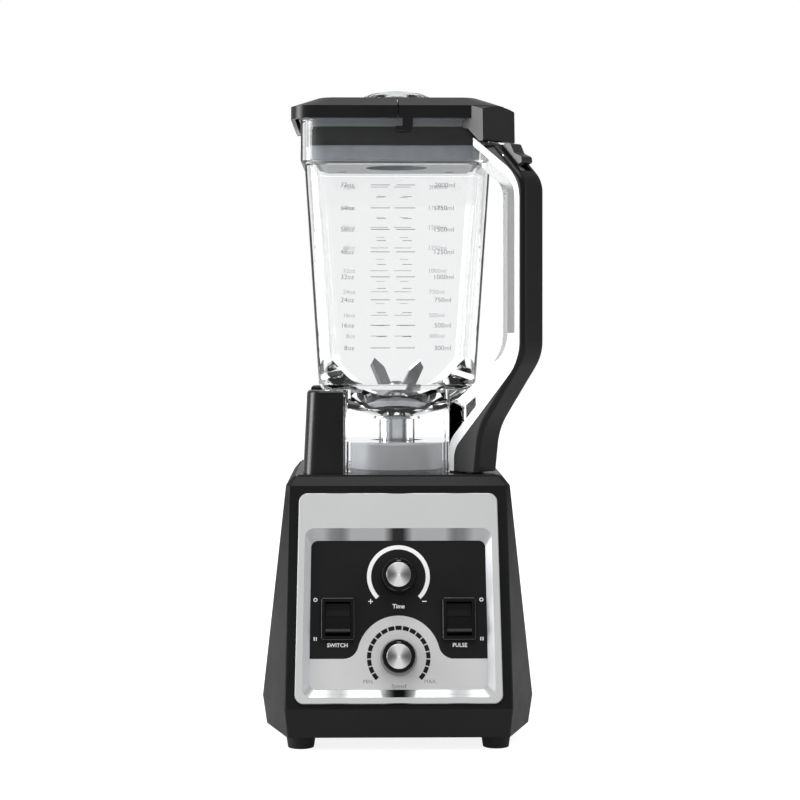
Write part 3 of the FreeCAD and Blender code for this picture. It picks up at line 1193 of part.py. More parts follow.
def make_lid_frames():
    """The two halves of the lid's shell: the right one carries the lobe and a hook over the slit."""
    wall, half, inset = value("lid_wall"), value("lid_half"), value("lid_inset")
    room = lofted(square(half - wall, value("lid_round") - wall, LID_LOW - 1),
                  square(half - wall, value("lid_round") - wall, LID_LOW + value("lid_band") - 1))
    room = room.fuse(lofted(square(half - wall, value("lid_round") - wall, LID_LOW + value("lid_band") - 1),
                            square(half - inset, value("lid_round") * 0.6, LID_TOP - wall)))
    shell = lid_outside().cut(room)
    shell = shell.cut(drum(value("filler_radius") + value("filler_wall") + value("fit"), FAR_LOW, FAR_HIGH))
    slit = value("lid_slit") / 2
    left = shell.common(block(-FAR_OUT, -slit, -FAR_OUT, FAR_OUT, FAR_LOW, FAR_HIGH))
    right = shell.common(block(slit, FAR_OUT, -FAR_OUT, FAR_OUT, FAR_LOW, FAR_HIGH))
    front = -half
    hook = block(3.5, 11, front, front + 4, LID_LOW - 6.5, LID_LOW + 1)
    hook = hook.fuse(block(-2, 10, front, front + 4, LID_LOW - 9.5, LID_LOW - 6))
    return [feature("lid_frame_left", left), feature("lid_frame_right", right.fuse(hook))]


def make_plug():
    """The plug in the jug's collar: closed below, with a tube around the filler hole and screw posts."""
    wall, half, rise = value("plug_wall"), value("plug_half"), value("jug_round") - value("jug_wall")
    core, low = value("plug_core"), value("plug_low")
    shape = lofted(square(value("plug_plate"), rise + 2, LID_LOW), square(value("plug_plate"), rise + 2,
                                                                         LID_LOW + value("plug_top")))
    shape = shape.fuse(lofted(square(half, rise, value("band_low")), square(half, rise, LID_LOW)))
    shape = shape.fuse(lofted(square(core, rise - 4, value("seal_low")), square(core, rise - 4, LID_LOW)))
    shape = shape.fuse(lofted(square(value("plug_low_half"), rise - 4, low),
                              square(core, rise - 4, value("seal_low"))))
    shape = shape.cut(lofted(square(core - wall, 6, low + wall), square(core - wall, 6, LID_TOP)))
    tube = drum(value("filler_radius") + value("filler_wall"), low, LID_TOP)
    shape = shape.fuse(tube).cut(drum(value("filler_radius"), FAR_LOW, FAR_HIGH))
    spot, head = value("lid_post"), value("screw_head") + value("gap")
    for x, y in four_corners(spot, spot):
        shape = shape.fuse(drum(head + 1.6, low, LID_TOP - value("lid_wall"), x, y))
        shape = shape.cut(drum(value("screw_radius"), FAR_LOW, LID_TOP - value("lid_wall"), x, y))
        shape = shape.cut(drum(head, FAR_LOW, LID_LOW - 1, x, y))
    return feature("lid_plug", shape)


def make_lid_rings():
    """Black gasket and grey seal around the plug's core, and the four screws of the lid."""
    rise, core = value("jug_round") - value("jug_wall"), value("plug_core")
    fit = value("fit")
    inner = lofted(square(core + fit, rise - 4, value("plug_low")), square(core + fit, rise - 4, LID_TOP))
    gasket = lofted(square(value("plug_half"), rise, value("gasket_low")),
                    square(value("plug_half"), rise, value("band_low"))).cut(inner)
    seal_half = value("plug_half") - 0.8
    seal = lofted(square(seal_half - 1.0, rise, value("seal_low")),
                  square(seal_half, rise, value("gasket_low")))
    screws = []
    for number, (x, y) in enumerate(four_corners(1, 1)):
        profile = [("0", "0"), ("screw_head", "0"), ("screw_head", "2"), ("screw_radius - fit", "2"),
                   ("screw_radius - fit", "14"), ("0", "14")]
        screws.append(turned("lid_screw_%d" % (number + 1), profile,
                             ("%d * lid_post" % x, "%d * lid_post" % y, "lid_low - 3")))
    return [feature("lid_gasket", gasket), feature("lid_seal", seal.cut(inner)), group("lid_screws", *screws)]


def make_filler_cap():
    """A clear domed cap with a measuring cup below it."""
    cup, wall = "cap_cup", "cap_wall"
    low = "cap_low - lid_top"
    profile = [(cup + " - " + wall, low), (cup, low), (cup, "gap"), ("cap_radius", "gap"),
               ("cap_radius", "3.2"),
               ("cap_radius * 0.88", "6.4"), ("cap_radius * 0.68", "cap_height - 1.6"),
               ("cap_radius * 0.4", "cap_height - 0.3"),
               ("0", "cap_height"), ("0", "cap_height - cap_wall"), (cup + " - " + wall, "1.5")]
    return turned("filler_cap", profile, ("0", "0", "lid_top"))


# ---------------------------------------------------------------- build, check and write
def build_all():
    """Every sub-part, as document objects whose names are the nodes."""
    parts = [make_base_housing(), make_bottom_tray(), make_rubber_feet(), make_tray_screws(),
             make_cord_gland(),
             make_rear_vent_grille(), make_jug_deck(), make_drive_pedestal(), make_panel_bezel()]
    parts += make_labels()
    parts += [make_switch_frames(), make_switch_bodies(), make_control_board(),
              make_potentiometer("time_potentiometer", "time_up"),
              make_potentiometer("speed_potentiometer", "speed_up")]
    parts += make_knob("time_knob", "time_up") + make_knob("speed_knob", "speed_up")
    parts += [make_rocker("switch_rocker", -value("switch_side")),
              make_rocker("pulse_rocker", value("switch_side"))]
    parts += make_motor() + [make_brush_holders(), make_fan_shroud()] + make_rotor()
    outside = jug_outside()
    parts += [make_jug_body(outside)] + make_handle(outside)
    parts += [make_bearing_housing()] + make_drive_rings() + [make_blades()] + make_blade_drive()
    parts += make_lid_frames() + [make_plug()] + make_lid_rings() + [make_filler_cap()]
    return parts


def check_document():
    """Stop at any object that failed, or any shape that is missing or broken."""
    for item in doc.Objects:
        if "Invalid" in item.State or "Error" in item.State:
            raise RuntimeError("%s is %s" % (item.Label, item.State))


def write_parts(parts):
    os.makedirs(OUT_DIR, exist_ok=True)
    for item in parts:
        shape = item.Shape
        if shape.isNull() or not shape.isValid() or not shape.Solids:
            raise RuntimeError("%s has no sound shape" % item.Label)
        shape.exportStep(os.path.join(OUT_DIR, item.Label + ".step"))


def main():
    parts = build_all()
    doc.recompute()
    check_document()
    write_parts(parts)
    for item in parts:
        box = item.Shape.BoundBox
        print("%-24s solids %d  x %.1f %.1f  y %.1f %.1f  z %.1f %.1f" % (
            item.Label, len(item.Shape.Solids), box.XMin, box.XMax, box.YMin, box.YMax, box.ZMin, box.ZMax))
    print("%d sub-parts" % len(parts))


main()
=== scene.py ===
# %% [markdown]
# # A countertop blender
#
# This lesson dresses a finished mechanical model: a motor base with a slanted control panel, a clear square jug
# with a grip at one corner, a split lid and a blade set. The model arrives as a frame of separate pieces at their
# real size, in metres, with the panel facing -Y and the worktop at z = 0. Nothing here moves those pieces. We give
# each one its finish, print the words and the scale, and light the whole thing like a product on a white sheet.

# %% Load the frame
import math

import bmesh
import bpy
from mathutils import Matrix, Vector


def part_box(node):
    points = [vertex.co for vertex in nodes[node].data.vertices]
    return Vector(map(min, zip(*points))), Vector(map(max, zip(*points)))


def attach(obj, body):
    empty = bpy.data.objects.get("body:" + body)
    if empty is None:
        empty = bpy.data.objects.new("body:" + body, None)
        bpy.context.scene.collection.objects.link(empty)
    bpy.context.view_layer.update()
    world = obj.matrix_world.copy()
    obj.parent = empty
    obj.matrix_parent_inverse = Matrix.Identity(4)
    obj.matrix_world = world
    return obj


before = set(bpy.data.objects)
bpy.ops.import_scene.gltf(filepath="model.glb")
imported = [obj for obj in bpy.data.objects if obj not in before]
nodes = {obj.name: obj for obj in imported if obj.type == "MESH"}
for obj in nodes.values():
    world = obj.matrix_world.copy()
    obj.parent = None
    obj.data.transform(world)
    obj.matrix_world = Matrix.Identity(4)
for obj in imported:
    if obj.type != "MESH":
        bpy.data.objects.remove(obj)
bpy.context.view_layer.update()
MM = 0.001

# %% [markdown]
# ## Small helpers for node trees
#
# A procedural finish is a handful of nodes. Two helpers keep the lines short: one adds a node and fills its sockets,
# the other turns a screen colour into the linear values that a shader wants.

# %% Node helpers
def linear(*channels):
    """A screen colour, 0 to 255 a channel, as the linear colour that a shader takes."""
    return tuple((c / 255 / 12.92) if c <= 10 else ((c / 255 + 0.055) / 1.055) ** 2.4 for c in channels) + (1.0,)


def add(tree, kind, sockets=None, **settings):
    """A new node. `sockets` maps an input's name or number to a value, or to the output that feeds it."""
    node = tree.nodes.new(kind)
    for key, setting in settings.items():
        setattr(node, key, setting)
    for key, given in (sockets or {}).items():
        if isinstance(given, bpy.types.NodeSocket):
            tree.links.new(given, node.inputs[key])
        else:
            node.inputs[key].default_value = given
    return node


def blank(name):
    """A material with an empty tree but for its output."""
    material = bpy.data.materials.new(name)
    material.use_nodes = True
    tree = material.node_tree
    tree.nodes.clear()
    return material, tree, tree.nodes.new("ShaderNodeOutputMaterial")


def coordinates(tree, stretch=(1, 1, 1)):
    """Positions on the object in metres, stretched along each axis."""
    place = add(tree, "ShaderNodeTexCoord").outputs["Object"]
    return add(tree, "ShaderNodeMapping", {"Vector": place, "Scale": stretch}).outputs["Vector"]


def noise(tree, where, size, detail=3.0, roughness=0.55):
    """Noise whose features are about `size` metres across."""
    return add(tree, "ShaderNodeTexNoise",
               {"Vector": where, "Scale": 1 / size, "Detail": detail, "Roughness": roughness}).outputs["Fac"]


def spread(tree, source, low, high, start=0.3, end=0.7):
    """The source's middle range carried over to low..high."""
    return add(tree, "ShaderNodeMapRange", {"Value": source, "From Min": start, "From Max": end,
                                            "To Min": low, "To Max": high}).outputs["Result"]


def between(tree, factor, first, second):
    """A colour that goes from first to second."""
    return add(tree, "ShaderNodeMix", {0: factor, 6: first, 7: second}, data_type="RGBA").outputs[2]


# %% [markdown]
# ## Moulded plastic
#
# The housing, the deck, the lid and the grip are injection moulded. Such a surface is one colour, but a spark-eroded
# mould leaves a fine grain, about a fifth of a millimetre, and handling leaves faint differences in gloss over
# centimetres. So roughness comes from two noises and the grain goes to a bump. The colour only drifts a little.

# %% Moulded plastic
def moulded(name, colour, gloss, grain=0.00022, relief=0.00001, drift=0.08, specular=0.5, coat=0.0):
    material, tree, out = blank(name)
    where = coordinates(tree)
    fine, broad = noise(tree, where, grain, 2.0), noise(tree, where, 0.035, 3.0)
    darker = tuple(c * (1 - drift) for c in colour[:3]) + (1.0,)
    lighter = tuple(min(1.0, c * (1 + drift)) for c in colour[:3]) + (1.0,)
    uneven = spread(tree, broad, gloss * 0.92, gloss * 1.08)
    rough = add(tree, "ShaderNodeMath", {0: uneven, 1: spread(tree, fine, -0.02, 0.02)}).outputs[0]
    bump = add(tree, "ShaderNodeBump", {"Strength": 1.0, "Distance": relief, "Height": fine})
    shader = add(tree, "ShaderNodeBsdfPrincipled", {
        "Base Color": between(tree, spread(tree, broad, 0, 1), darker, lighter), "Roughness": rough,
        "Normal": bump.outputs[0], "Specular IOR Level": specular, "Coat Weight": coat, "Coat Roughness": 0.12})
    tree.links.new(shader.outputs[0], out.inputs["Surface"])
    return material


housing_plastic = moulded("housing_plastic", linear(24, 24, 25), 0.42, specular=0.16)
tray_plastic = moulded("tray_plastic", linear(8, 8, 9), 0.5, specular=0.3)
deck_plastic = moulded("deck_plastic", linear(20, 20, 21), 0.24, relief=0.000004)
pedestal_plastic = moulded("pedestal_plastic", linear(176, 178, 182), 0.4)
lid_plastic = moulded("lid_plastic", linear(22, 22, 23), 0.3, relief=0.000006, specular=0.4)
grip_plastic = moulded("grip_plastic", linear(20, 20, 21), 0.36, relief=0.000008, specular=0.2)
lever_plastic = moulded("lever_plastic", linear(24, 24, 25), 0.28)
switch_plastic = moulded("switch_plastic", linear(14, 14, 15), 0.16, relief=0.000003, specular=0.7)
knob_plastic = moulded("knob_plastic", linear(12, 12, 13), 0.14, relief=0.000002, specular=0.9)
inner_plastic = moulded("inner_plastic", linear(58, 58, 60), 0.5)
fan_plastic = moulded("fan_plastic", linear(70, 70, 72), 0.5)
plug_plastic = moulded("plug_plastic", linear(128, 132, 138), 0.35, relief=0.000004)
board_plastic = moulded("board_plastic", linear(24, 78, 48), 0.35)
print("moulded plastics:", len(bpy.data.materials))

# %% [markdown]
# ## Rubber and silicone
#
# Rubber is duller than plastic and scatters a little light at its edges, which sheen gives cheaply. The feet and
# the seat pad are nearly black. The lid's seal is a grey silicone.

# %% Rubber
def rubber(name, colour, gloss=0.75):
    material, tree, out = blank(name)
    where = coordinates(tree)
    fine = noise(tree, where, 0.0004, 4.0)
    bump = add(tree, "ShaderNodeBump", {"Strength": 1.0, "Distance": 0.000006, "Height": fine})
    shader = add(tree, "ShaderNodeBsdfPrincipled", {
        "Base Color": between(tree, spread(tree, noise(tree, where, 0.01), 0, 1), colour,
                              tuple(c * 1.2 for c in colour[:3]) + (1.0,)),
        "Roughness": spread(tree, fine, gloss - 0.08, gloss + 0.08), "Normal": bump.outputs[0],
        "Sheen Weight": 0.04, "Sheen Roughness": 0.4, "Specular IOR Level": 0.3})
    tree.links.new(shader.outputs[0], out.inputs["Surface"])
    return material


black_rubber = rubber("black_rubber", linear(26, 26, 26))
gasket_rubber = rubber("gasket_rubber", linear(24, 24, 25), 0.55)
grey_silicone = rubber("grey_silicone", linear(138, 141, 147), 0.5)

# %% [markdown]
# ## Silver paint and metal
#
# The panel's bright plate is plastic with a silver lacquer: tiny flakes in a clear film. Fine noise that drives both
# metallic shine and roughness reads as flakes. Its bevels are polished bare, so the same plate needs a second,
# mirror-like finish on its slanted faces, which the mesh's own normals can pick out. On the top and bottom bevels
# that finish has dark bands painted into its colour every 45 mm, darkest at the panel's middle: a painted reflection.

# %% Silver lacquer and polished bevels with painted reflection bands
# Spacing along X of the dark bands painted on the polished bevels, a painted reflection.
PAINTED_REFLECTION_PITCH = 0.045
PANEL_LEAN = math.atan2(0.040, 0.157)
PANEL_OUT = Vector((0, -math.cos(PANEL_LEAN), math.sin(PANEL_LEAN)))


def silver_lacquer(name, colour, gloss=0.38, metal=0.35, bevels=False):
    material, tree, out = blank(name)
    where = coordinates(tree)
    flakes = noise(tree, where, 0.00016, 1.0)
    rough = spread(tree, flakes, gloss - 0.05, gloss + 0.05)
    bump = add(tree, "ShaderNodeBump", {"Strength": 1.0, "Distance": 0.000004, "Height": flakes})
    paint = add(tree, "ShaderNodeBsdfPrincipled", {
        "Base Color": between(tree, spread(tree, noise(tree, where, 0.05), 0, 1), colour,
                              tuple(c * 0.97 for c in colour[:3]) + (1.0,)),
        "Metallic": metal, "Roughness": rough, "Normal": bump.outputs[0], "Coat Weight": 0.25,
        "Coat Roughness": 0.1})
    surface = paint.outputs[0]
    # Polished bevels: dark bands are painted into the base colour along X as a painted reflection. They go on the
    # faces that lean away from the panel's face and look up or down, and they fade towards the sides.
    if bevels:
        facing = add(tree, "ShaderNodeVectorMath", {0: add(tree, "ShaderNodeTexCoord").outputs["Normal"],
                                                    1: tuple(PANEL_OUT)}, operation="DOT_PRODUCT").outputs["Value"]
        tilted = add(tree, "ShaderNodeMapRange", {"Value": facing, "From Min": 0.985, "From Max": 0.93,
                                                  "To Min": 0.0, "To Max": 1.0}).outputs["Result"]
        ways = add(tree, "ShaderNodeSeparateXYZ", {0: add(tree, "ShaderNodeTexCoord").outputs["Normal"]})
        across = add(tree, "ShaderNodeMath", {0: ways.outputs["X"]}, operation="ABSOLUTE").outputs[0]
        ends = add(tree, "ShaderNodeMapRange", {"Value": across, "From Min": 0.06, "From Max": 0.2, "To Min": 1.0,
                                                "To Max": 0.0}).outputs["Result"]
        place = add(tree, "ShaderNodeSeparateXYZ", {0: coordinates(tree)}).outputs["X"]
        turn = add(tree, "ShaderNodeMath", {0: place, 1: math.tau / PAINTED_REFLECTION_PITCH}, operation="MULTIPLY").outputs[0]
        wave = add(tree, "ShaderNodeMath", {0: turn}, operation="COSINE").outputs[0]
        aside = add(tree, "ShaderNodeMath", {0: place}, operation="ABSOLUTE").outputs[0]
        fading = spread(tree, aside, 1.0, 0.35, 0.01, 0.06)
        band = add(tree, "ShaderNodeMath", {0: spread(tree, wave, 0, 1, 0.1, 0.9), 1: fading},
                   operation="MULTIPLY").outputs[0]
        scratches_and_painted_reflection = add(tree, "ShaderNodeMath", {0: ends, 1: band}, operation="MULTIPLY").outputs[0]
        # Bare metal colour where no band is painted, near black under the painted reflection bands.
        polished = add(tree, "ShaderNodeBsdfPrincipled", {
            "Base Color": between(tree, scratches_and_painted_reflection, linear(178, 179, 181), linear(20, 21, 23)), "Metallic": 0.4,
            "Roughness": spread(tree, ends, 0.42, 0.16, 0.0, 1.0)})
        surface = add(tree, "ShaderNodeMixShader", {0: tilted, 1: surface, 2: polished.outputs[0]}).outputs[0]
    tree.links.new(surface, out.inputs["Surface"])
    return material


panel_silver = silver_lacquer("panel_silver", linear(220, 221, 221), bevels=True)
label_silver = silver_lacquer("label_silver", linear(226, 227, 226), 0.42)
trim_silver = silver_lacquer("trim_silver", linear(196, 197, 198), 0.34, 0.2)

# %% [markdown]
# Turned metal has rings around its axis and shows two bright fans where they catch the light. Each ring is a tiny
# groove, so noise that changes only with the distance from the axis, sent to a bump, gives such fans in the light. On
# the knob caps they are also painted into the colour: it darkens left and right of the axis, a painted shade that
# leaves painted bright fans above and below.
# Drawn metal, such as the blades, has straight scratches instead: the same noise stretched along one axis.

# %% Turned and drawn metal
def turned_metal(name, centre, axis, colour, gloss=0.22, ring=0.00012, relief=0.000006, painted_fan_shade=0.0):
    """Metal turned about the line through centre along axis. The last argument is painted shade: how far the colour
    darkens left and right of the axis, which leaves a painted bright fan above it and one below.
    """
    material, tree, out = blank(name)
    place = add(tree, "ShaderNodeTexCoord").outputs["Object"]
    offset = add(tree, "ShaderNodeVectorMath", {0: place, 1: tuple(centre)}, operation="SUBTRACT").outputs[0]
    across = add(tree, "ShaderNodeVectorMath", {0: offset, 1: tuple(axis)}, operation="CROSS_PRODUCT").outputs[0]
    radius = add(tree, "ShaderNodeVectorMath", {0: across}, operation="LENGTH").outputs["Value"]
    spot = add(tree, "ShaderNodeCombineXYZ", {0: radius}).outputs[0]
    rings = noise(tree, spot, ring, 2.0)
    radial = add(tree, "ShaderNodeVectorMath", {0: offset}, operation="NORMALIZE").outputs[0]
    tangent = add(tree, "ShaderNodeVectorMath", {0: tuple(axis), 1: radial}, operation="CROSS_PRODUCT").outputs[0]
    bump = add(tree, "ShaderNodeBump", {"Strength": 1.0, "Distance": relief, "Height": rings})
    shade = between(tree, spread(tree, rings, 0, 1), colour, tuple(c * 0.86 for c in colour[:3]) + (1.0,))
    # Painted shade: the colour darkens left and right of the axis, so painted bright fans stay above and below it.
    if painted_fan_shade:
        aside = add(tree, "ShaderNodeSeparateXYZ", {0: radial}).outputs["X"]
        aside = add(tree, "ShaderNodeMath", {0: aside}, operation="ABSOLUTE").outputs[0]
        shade = between(tree, spread(tree, aside, 0.0, painted_fan_shade, 0.35, 0.95), shade, linear(70, 70, 72))
    shader = add(tree, "ShaderNodeBsdfPrincipled", {
        "Base Color": shade, "Metallic": 0.35 if painted_fan_shade else 1.0,
        "Roughness": spread(tree, rings, gloss - 0.04, gloss + 0.04), "Anisotropic": 0.85,
        "Tangent": tangent, "Normal": bump.outputs[0]})
    tree.links.new(shader.outputs[0], out.inputs["Surface"])
    return material


def drawn_metal(name, colour, gloss=0.3, stretch=(1, 1, 0.04), relief=0.000004):
    """Metal with fine scratches along one direction."""
    material, tree, out = blank(name)
    scratches_and_painted_reflection = noise(tree, coordinates(tree, stretch), 0.0003, 3.0)
    bump = add(tree, "ShaderNodeBump", {"Strength": 1.0, "Distance": relief, "Height": scratches_and_painted_reflection})
    shader = add(tree, "ShaderNodeBsdfPrincipled", {
        "Base Color": between(tree, spread(tree, scratches_and_painted_reflection, 0, 1), colour, tuple(c * 0.88 for c in colour[:3]) + (1.0,)),
        "Metallic": 1.0, "Roughness": spread(tree, scratches_and_painted_reflection, gloss - 0.06, gloss + 0.06),
        "Normal": bump.outputs[0]})
    tree.links.new(shader.outputs[0], out.inputs["Surface"])
    return material


def middle(name):
    """The centre of a node's box."""
    low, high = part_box(name)
    return (Vector(low) + Vector(high)) / 2


# The knob caps get painted fans: painted shade left and right of the centre, painted highlight above and below.
time_metal = turned_metal("time_metal", middle("time_knob_cap"), PANEL_OUT, linear(250, 250, 251), painted_fan_shade=0.9)
speed_metal = turned_metal("speed_metal", middle("speed_knob_cap"), PANEL_OUT, linear(250, 250, 251), painted_fan_shade=0.9)
hub_metal = turned_metal("hub_metal", (0, 0, 0), (0, 0, 1), linear(188, 190, 192), 0.25)
blade_metal = drawn_metal("blade_metal", linear(196, 198, 200), 0.22, (1, 0.06, 1))
motor_metal = drawn_metal("motor_metal", linear(140, 141, 143), 0.45, (0.05, 0.05, 1))
screw_metal = drawn_metal("screw_metal", linear(176, 177, 180), 0.3)
bracket_metal = drawn_metal("bracket_metal", linear(172, 173, 174), 0.5, (1, 1, 1), 0.00001)
copper_wire = drawn_metal("copper_wire", linear(186, 108, 62), 0.35, (0.2, 0.2, 4), 0.00002)

# %% [markdown]
# ## Clear plastic
#
# The jug, the grip's core and the filler cap are solid clear plastic. A glass shader on real walls bends the view at
# both faces, which is where the dark outlines of such a jug come from. Cycles would let no lamp through it without
# slow caustics, so light on its way to a lamp meets a plain tinted, transparent surface instead.

# %% Clear plastic
def clear_plastic(name, tint, gloss=0.0, index=1.49, shade=0.93):
    material, tree, out = blank(name)
    where = coordinates(tree)
    haze = spread(tree, noise(tree, where, 0.06), gloss, gloss + 0.015)
    waves = add(tree, "ShaderNodeBump", {"Strength": 1.0, "Distance": 0.00008,
                                         "Height": noise(tree, where, 0.03, 1.0)})
    solid = add(tree, "ShaderNodeBsdfPrincipled", {
        "Base Color": tint, "Transmission Weight": 1.0, "IOR": index, "Roughness": haze,
        "Normal": waves.outputs[0]})
    pane = add(tree, "ShaderNodeBsdfTransparent", {"Color": (shade, shade, shade, 1.0)})
    path = add(tree, "ShaderNodeLightPath")
    either = add(tree, "ShaderNodeMath", {0: path.outputs["Is Shadow Ray"], 1: path.outputs["Is Diffuse Ray"]},
                 operation="MAXIMUM").outputs[0]
    both = add(tree, "ShaderNodeMixShader", {0: either, 1: solid.outputs[0], 2: pane.outputs[0]})
    tree.links.new(both.outputs[0], out.inputs["Surface"])
    return material


jug_plastic = clear_plastic("jug_plastic", (0.955, 0.962, 0.964, 1.0))
core_plastic = clear_plastic("core_plastic", (0.96, 0.965, 0.968, 1.0), 0.0, 1.2)
cap_plastic = clear_plastic("cap_plastic", (0.93, 0.945, 0.95, 1.0), 0.03)

# %% [markdown]
# ## Dress the frame
#
# Every node of the frame gets one finish. A table from finish to nodes is easier to read, and to change, than sixty
# separate lines. Smooth shading by angle keeps the moulded edges crisp and the round faces round.

# %% Finishes of the frame's pieces
finishes = {
    housing_plastic: "base_housing rear_vent_grille",
    tray_plastic: "bottom_tray",
    deck_plastic: "jug_deck",
    lid_plastic: "lid_frame_left lid_frame_right",
    grip_plastic: "handle_grip",
    lever_plastic: "thumb_lever",
    switch_plastic: "switch_frames switch_rocker pulse_rocker",
    knob_plastic: "time_knob speed_knob",
    inner_plastic: "switch_bodies brush_holders",
    fan_plastic: "fan_shroud cooling_fan",
    plug_plastic: "lid_plug",
    board_plastic: "control_board",
    black_rubber: "rubber_feet cord_gland motor_dampers shaft_seal",
    gasket_rubber: "lid_gasket",
    grey_silicone: "lid_seal jug_floor_seal",
    panel_silver: "panel_bezel",
    label_silver: "label_silver",
    trim_silver: "handle_trim",
    time_metal: "time_knob_cap",
    speed_metal: "speed_knob_cap",
    hub_metal: "blade_bearing_housing blade_nut blade_bearings blade_shaft hub_nut drive_socket drive_spline "
               "motor_shaft bottom_bearing top_bearing",
    blade_metal: "blade_set",
    motor_metal: "motor_stator rotor_core time_potentiometer speed_potentiometer",
    screw_metal: "tray_screws lever_pin lid_screws",
    bracket_metal: "motor_top_bracket motor_bottom_bracket",
    copper_wire: "field_coils commutator",
    jug_plastic: "jug_body",
    core_plastic: "handle_core",
    pedestal_plastic: "drive_pedestal",
    cap_plastic: "filler_cap",
}


def dress(piece, material):
    """Give every face of the piece one material, with smooth round faces and crisp edges."""
    piece.data.materials.clear()
    piece.data.materials.append(material)
    for face in piece.data.polygons:
        face.use_smooth = True
        face.material_index = 0
    piece.data.set_sharp_from_angle(angle=math.radians(28))


for finish, names in finishes.items():
    for name in names.split():
        dress(nodes[name], finish)

# %% [markdown]
# The dark label is printed foil. It is nearly black and a shade glossier than the housing around it.

# %% Dark label
label_foil = moulded("label_foil", linear(29, 29, 29), 0.4, grain=0.0003, relief=0.000004, drift=0.04, specular=0.2)
dress(nodes["label_black"], label_foil)
undressed = sorted(name for name, piece in nodes.items() if piece.data.materials[0].name not in
                   [finish.name for finish in list(finishes) + [label_foil]])
print("pieces without a finish:", undressed)

# %% [markdown]
# ## Where printing goes
#
# Words, dial marks and the volume scale are thin films of ink. Each is drawn flat in millimetres, x across and y up,
# and then carried onto its surface. The panel is one plane that leans back. The jug's front and back walls are two
# more planes that spread upwards, so a height on the wall decides how far out the ink lies.

# %% Carry flat drawings onto surfaces
INK = 0.06
PANEL_FOOT = Vector((0, -0.124, 0.031))
PANEL_UP = Vector((0, math.sin(PANEL_LEAN), math.cos(PANEL_LEAN)))
LABEL_DEPTH = -2.5


def on_panel(x, y, lift=0.0):
    """A point on the panel: x across, y up the leaning face, lift out of the label, all in millimetres."""
    return PANEL_FOOT + (Vector((x, 0, 0)) + PANEL_UP * y + PANEL_OUT * (LABEL_DEPTH + lift)) * MM


WALL_LOW, WALL_LOW_OUT = 262.0, 59.5
WALL_HIGH, WALL_HIGH_OUT = 427.0, 70.0


def on_jug(x, y, lift=0.0, side=-1):
    """A point on the jug's front wall (side -1) or back wall (side 1), at height y above the worktop."""
    share = (y - WALL_LOW) / (WALL_HIGH - WALL_LOW)
    out = WALL_LOW_OUT + share * (WALL_HIGH_OUT - WALL_LOW_OUT) + lift
    return Vector((x, side * out, y)) * MM


def on_jug_back(x, y, lift=0.0):
    return on_jug(x, y, lift, 1)


def film(name, drawings, carry, material, body, thickness=INK):
    """One printed piece from flat drawings, each (points, faces) in millimetres, with a real thickness."""
    drawn = bmesh.new()
    for points, faces in drawings:
        flat = [drawn.verts.new((x, y, 0)) for x, y in points]
        for face in faces:
            drawn.faces.new([flat[corner] for corner in face])
    bmesh.ops.recalc_face_normals(drawn, faces=drawn.faces)
    for face in drawn.faces:
        if face.normal.z < 0:
            face.normal_flip()
    solid = bmesh.ops.extrude_face_region(drawn, geom=list(drawn.faces))
    lifted = [item for item in solid["geom"] if isinstance(item, bmesh.types.BMVert)]
    for vertex in lifted:
        vertex.co.z = thickness
    bmesh.ops.recalc_face_normals(drawn, faces=drawn.faces)
    for vertex in drawn.verts:
        vertex.co = carry(vertex.co.x, vertex.co.y, vertex.co.z + 0.01)
    bmesh.ops.recalc_face_normals(drawn, faces=drawn.faces)
    mesh = bpy.data.meshes.new(name)
    drawn.to_mesh(mesh)
    drawn.free()
    piece = bpy.data.objects.new(name, mesh)
    bpy.context.collection.objects.link(piece)
    mesh.materials.append(material)
    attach(piece, body)
    return piece


# %% [markdown]
# A word is a text curve turned into a flat mesh, so that it needs no font file: Blender's own font is always there.
# It is scaled to a wanted height, because a font's size says little about how tall its capitals are.

# %% Words, arcs and bars as flat drawings
def word(text, x, y, height, align="CENTER", weight=0.0, wide=1.0, reference="H"):
    """A word whose capitals are `height` mm tall, centred on or starting at (x, y)."""
    def flat_mesh(letters):
        curve = bpy.data.curves.new("letters", "FONT")
        curve.body = letters
        curve.resolution_u = 3
        curve.offset = weight
        carrier = bpy.data.objects.new("letters", curve)
        bpy.context.collection.objects.link(carrier)
        bpy.context.view_layer.update()
        mesh = bpy.data.meshes.new_from_object(carrier.evaluated_get(bpy.context.evaluated_depsgraph_get()))
        bpy.data.objects.remove(carrier)
        bpy.data.curves.remove(curve)
        return mesh
    ruler = flat_mesh(reference)
    rises = [vertex.co.y for vertex in ruler.vertices]
    scale = height / (max(rises) - min(rises))
    mesh = flat_mesh(text)
    rows = [(vertex.co.x * scale * wide, (vertex.co.y - min(rises)) * scale) for vertex in mesh.vertices]
    left, right = min(row[0] for row in rows), max(row[0] for row in rows)
    shift = {"CENTER": -(left + right) / 2, "LEFT": -left, "RIGHT": -right}[align]
    points = [(x + a + shift, y - height / 2 + b) for a, b in rows]
    faces = [tuple(face.vertices) for face in mesh.polygons]
    return points, faces


def arc_band(x, y, inner, outer, start, end, steps=48):
    """A flat band between two radii. Angles are in degrees, counted from the right, anticlockwise."""
    points, faces = [], []
    for step in range(steps + 1):
        angle = math.radians(start + (end - start) * step / steps)
        for radius in (inner, outer):
            points.append((x + radius * math.cos(angle), y + radius * math.sin(angle)))
    for step in range(steps):
        faces.append((2 * step, 2 * step + 1, 2 * step + 3, 2 * step + 2))
    return points, faces


def bar(left, right, low, high):
    return [(left, low), (right, low), (right, high), (left, high)], [(0, 1, 2, 3)]


